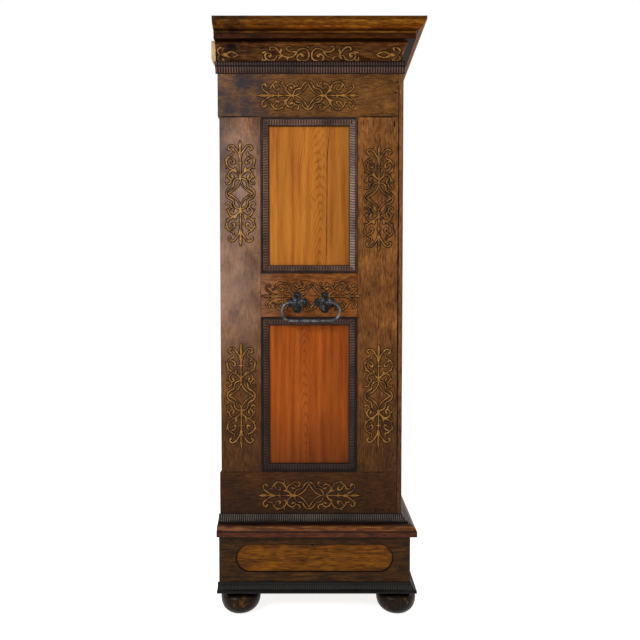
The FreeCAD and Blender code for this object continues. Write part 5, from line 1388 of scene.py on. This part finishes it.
for side, sign in SIDES.items():
    out = Vector((sign, 0, 0))
    mesh = bmesh.new()
    for shift in (-EYE_SPACING, EYE_SPACING):
        foot = Vector((sign * HALF_WIDTH, HANDLE_Y + shift, HANDLE_Z))
        rosette(mesh, foot, out)
        eye = Vector((sign * BAIL_X, HANDLE_Y + shift, HANDLE_Z))
        circle = [eye + Vector((math.cos(t), 0, math.sin(t))) * EYE_RADIUS for t in turns(28)]
        closed_rod(mesh, circle, EYE_WIRE, widen=EYE_WIDEN)
        forged_rod(mesh, [foot + out * far * MM for far, radius in NECK_MM],
                   [radius * MM for far, radius in NECK_MM])
    put("rosettes_" + side, as_mesh(mesh, "rosettes_" + side, IRON), "carcass",
        replaces=["handle_rosettes"])
    half = [(far * MM, 0, radius) for far, radius in BAIL_TIP_MM]
    for step, radius in enumerate(BAIL_ARC_MM):
        t = math.pi * step / (len(BAIL_ARC_MM) - 1)
        half.append((BAIL_FLAT + BAIL_RADIUS * math.sin(t), BAIL_RADIUS * (math.cos(t) - 1),
                     radius))
    half += [(far * MM, -2 * BAIL_RADIUS, radius) for far, radius in BAIL_GRIP_MM]
    whole = half + [(-far, drop, radius) for far, drop, radius in reversed(half)]
    mesh = bmesh.new()
    forged_rod(mesh, [Vector((sign * BAIL_X, HANDLE_Y + far, HANDLE_Z + drop))
                      for far, drop, radius in whole], [radius * MM for _, _, radius in whole])
    put("bail_" + side, as_mesh(mesh, "bail_" + side, WORN_IRON), "bail_" + side,
        replaces=["bail_handle_" + side])
print("bails with", len(whole), "rings each")

# %% [markdown]
# ## Knobs, keys and hinge caps
#
# The hardware of the front isn't in the photograph, so it follows what a turner and a locksmith
# usually made: drawer knobs with a waist and a stepped face, keys with two collars on the shank
# and a small ball on the bow, an oval border round each keyhole, and a turned cap on top of each
# hinge. All of them are lathe work or bent rod, and each rides on what it is fixed to.

# %% Knobs
KNOB_PROFILE = [(9.2, 0), (8.6, 2), (7.2, 5), (7.6, 8), (9.6, 10.5), (14, 13.5), (17.4, 17),
                (18, 20), (16.8, 23.4), (13.4, 26), (12.2, 26.4), (10.4, 28.4), (6, 29.8), (0, 30)]
KNOB_SPREAD = 0.170
knob_data = lathe("drawer_knob", KNOB_PROFILE, 40, IRON)
for side, sign in SIDES.items():
    for place, shift in (("outer", 1), ("inner", -1)):
        knob_x = sign * (DRAWER_MIDDLE_X + shift * KNOB_SPREAD)
        put("knob_%s_%s" % (place, side), knob_data, "drawer_" + side,
            axes((knob_x, BASE_FRONT_Y + OVAL_DEPTH, OVAL_Z), LEVEL, UPRIGHT, TO_FRONT),
            replaces=["drawer_knobs_" + side])

# %% Keys
KEY_X, KEY_Z = 0.1055, 1.165
COLLAR_Y, BALL_Y, BORDER_Y = FRONT_Y - 0.012, FRONT_Y - 0.0482, FRONT_Y - 0.0025
BORDER_WIDE, BORDER_TALL, BORDER_WIRE = 14.5 * MM, 30 * MM, 1.4 * MM
COLLAR_PROFILE = [(3.9, 0), (5.6, 0.6), (6.6, 2), (5.6, 3.4), (4.5, 4), (5.2, 5), (5.8, 6.2),
                  (5.2, 7.4), (3.9, 8)]
BALL_PROFILE = [(0, -0.4), (2.2, 0.2), (3.6, 1.8), (4, 3.6), (3.4, 5.4), (2, 6.6), (0, 7)]
collar_data = lathe("key_collars", COLLAR_PROFILE, 28, WORN_IRON)
ball_data = lathe("key_bow_ball", BALL_PROFILE, 24, WORN_IRON)
for side, sign in SIDES.items():
    key_x = sign * KEY_X
    for piece, data, y in (("key_collars", collar_data, COLLAR_Y),
                           ("key_bow_ball", ball_data, BALL_Y)):
        put("%s_%s" % (piece, side), data, "key_" + side,
            axes((key_x, y, KEY_Z), LEVEL, UPRIGHT, TO_FRONT))
    mesh = bmesh.new()
    closed_rod(mesh, [Vector((key_x + math.cos(t) * BORDER_WIDE, BORDER_Y,
                              KEY_Z + math.sin(t) * BORDER_TALL)) for t in turns(56)],
               BORDER_WIRE, sides=8)
    put("keyhole_border_" + side, as_mesh(mesh, "keyhole_border_" + side, WORN_IRON),
        "door_" + side)

# %% Hinge caps
CAP_PROFILE = [(6.8, -0.3), (7.4, 0.8), (6.4, 2.2), (4.2, 3.6), (4.4, 5), (6, 7), (6.2, 9),
               (5, 11.4), (2.4, 13), (0, 13.6)]
HINGE_X, HINGE_Y, KNUCKLE_HALF = 0.7585, -0.317, 0.023
DOOR_LOW_Z, DOOR_HEIGHT = 0.391, 1.532
HINGE_SHARES = {"low": 0.11, "middle": 0.5, "high": 0.89}
cap_data = lathe("hinge_cap", CAP_PROFILE, 28, IRON)
for side, sign in SIDES.items():
    for level, share in HINGE_SHARES.items():
        top_z = DOOR_LOW_Z + share * DOOR_HEIGHT + KNUCKLE_HALF
        put("hinge_cap_%s_%s" % (level, side), cap_data, "door_" + side,
            Matrix.Translation((sign * HINGE_X, HINGE_Y, top_z)))

# %% [markdown]
# ## Splits in the door panels
#
# The door panels are the same wide pine as those of the side, so they have split as well. The
# lines differ from door to door, as no two boards tear alike.

# %% Door splits
DOOR_PANEL_Y = -0.2975
DOOR_SPLIT_MM, SPLIT_LEAN = 0.7, 0.003
DOOR_SPLITS = {"left": ((-0.31, 1.30, 1.78), (-0.47, 0.56, 0.80), (-0.36, 0.90, 1.05)),
               "right": ((0.44, 1.27, 1.60), (0.30, 0.58, 0.95), (0.50, 1.62, 1.77))}
for side, tears in DOOR_SPLITS.items():
    marks = [(straight((x, low_z), (x + SPLIT_LEAN, high_z), 16, 0.5), DOOR_SPLIT_MM)
             for x, low_z, high_z in tears]
    dark_marks("door_splits_" + side, "door_" + side, marks, CRACK,
               lambda p: Vector((p.x, DOOR_PANEL_Y, p.y)), (0, -1, 0))
    print(side, "door", len(marks), "splits")

# %% [markdown]
# ## Floor, light and backdrop
#
# A plain studio: a pale floor and an even sky, a cool strong lamp at the wall-side corner that
# greys the wax there, a weak warm one at the front corner, and three large fills for the sides
# that the photograph doesn't show. The floor is white to the camera because it gives off a
# little light on top of what it reflects, so the shadow under the feet stays.

# %% Studio
AMBIENT, FLOOR_GLOW = 0.30, 0.82
FLOOR_REACH, FLOOR_DROP = 14, 0.5 * MM


def backdrop_share(tree):
    """1 for a ray that shows the backdrop: from the camera, off a gloss or through glass."""
    rays = add(tree, "LightPath")
    share = rays.outputs["Is Camera Ray"]
    for other in ("Is Glossy Ray", "Is Transmission Ray"):
        share = add(tree, "Math", {0: share, 1: rays.outputs[other]}, operation="MAXIMUM")
    return share


world = bpy.data.worlds.new("pale_studio")
bpy.context.scene.world = world
world.use_nodes = True
sky = world.node_tree
sky.nodes.clear()
strength = add(sky, "MapRange", {"Value": backdrop_share(sky), "To Min": AMBIENT})
backdrop = add(sky, "Background", {"Color": (1, 1, 1, 1), "Strength": strength})
add(sky, "OutputWorld", {"Surface": backdrop})

paper, tree = new_material("pale_floor_paper")
glow = add(tree, "Math", {0: backdrop_share(tree), 1: FLOOR_GLOW}, operation="MULTIPLY")
grain = add(tree, "TexNoise", {"Scale": 40, "Detail": 3})
tint = add(tree, "ValToRGB", {"Fac": grain}, stops=((0.3, "d6d6d5"), (0.7, "dededd")))
finish_with(tree, add(tree, "AddShader", {0: add(tree, "BsdfDiffuse", {"Color": tint}),
                                          1: add(tree, "Emission", {"Strength": glow})}))
mesh = bmesh.new()
bmesh.ops.create_grid(mesh, x_segments=4, y_segments=4, size=FLOOR_REACH)
floor = bpy.data.objects.new("studio_floor", as_mesh(mesh, "studio_floor", paper, outward=False))
floor.location.z = -FLOOR_DROP
bpy.context.scene.collection.objects.link(floor)
floor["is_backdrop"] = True

# %% Lamps
SIDE_AIM = (-0.9, 0, 1.1)
LAMPS = {
    "window_key": ((-4.0, 2.6, 3.4), SIDE_AIM, 1.8, 150, "f3f6ff"),
    "warm_fill": ((-4.0, -3.0, 2.6), SIDE_AIM, 2.2, 34, "fff0dc"),
    "front_fill": ((0.8, -4.4, 3.2), (0, -0.4, 1.1), 2.6, 110, "fff6ec"),
    "back_fill": ((0.5, 4.5, 3.2), (0, 0.4, 1.1), 2.6, 90, "f4f6ff"),
    "far_side_fill": ((4.4, 0.3, 2.8), (0.9, 0, 1.1), 2.4, 100, "fff6ec"),
}
for name, (place, aim, size, watts, colour) in LAMPS.items():
    data = bpy.data.lights.new(name, "AREA")
    data.shape = "DISK"
    data.size = size
    data.energy = watts
    data.color = linear(colour)[:3]
    lamp = bpy.data.objects.new(name, data)
    lamp.location = place
    lamp.rotation_euler = (Vector(aim) - Vector(place)).to_track_quat("-Z", "Y").to_euler()
    bpy.context.scene.collection.objects.link(lamp)
bpy.context.scene.view_settings.view_transform = "Standard"
print(len(LAMPS), "lamps over a floor of", 2 * FLOOR_REACH, "m")

# %% [markdown]
# ## Measure and finish
#
# The box round the dressed wardrobe is printed.

# %% Sizes
low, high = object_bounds()
print("dressed box", [round(v, 3) for v in low], [round(v, 3) for v in high])
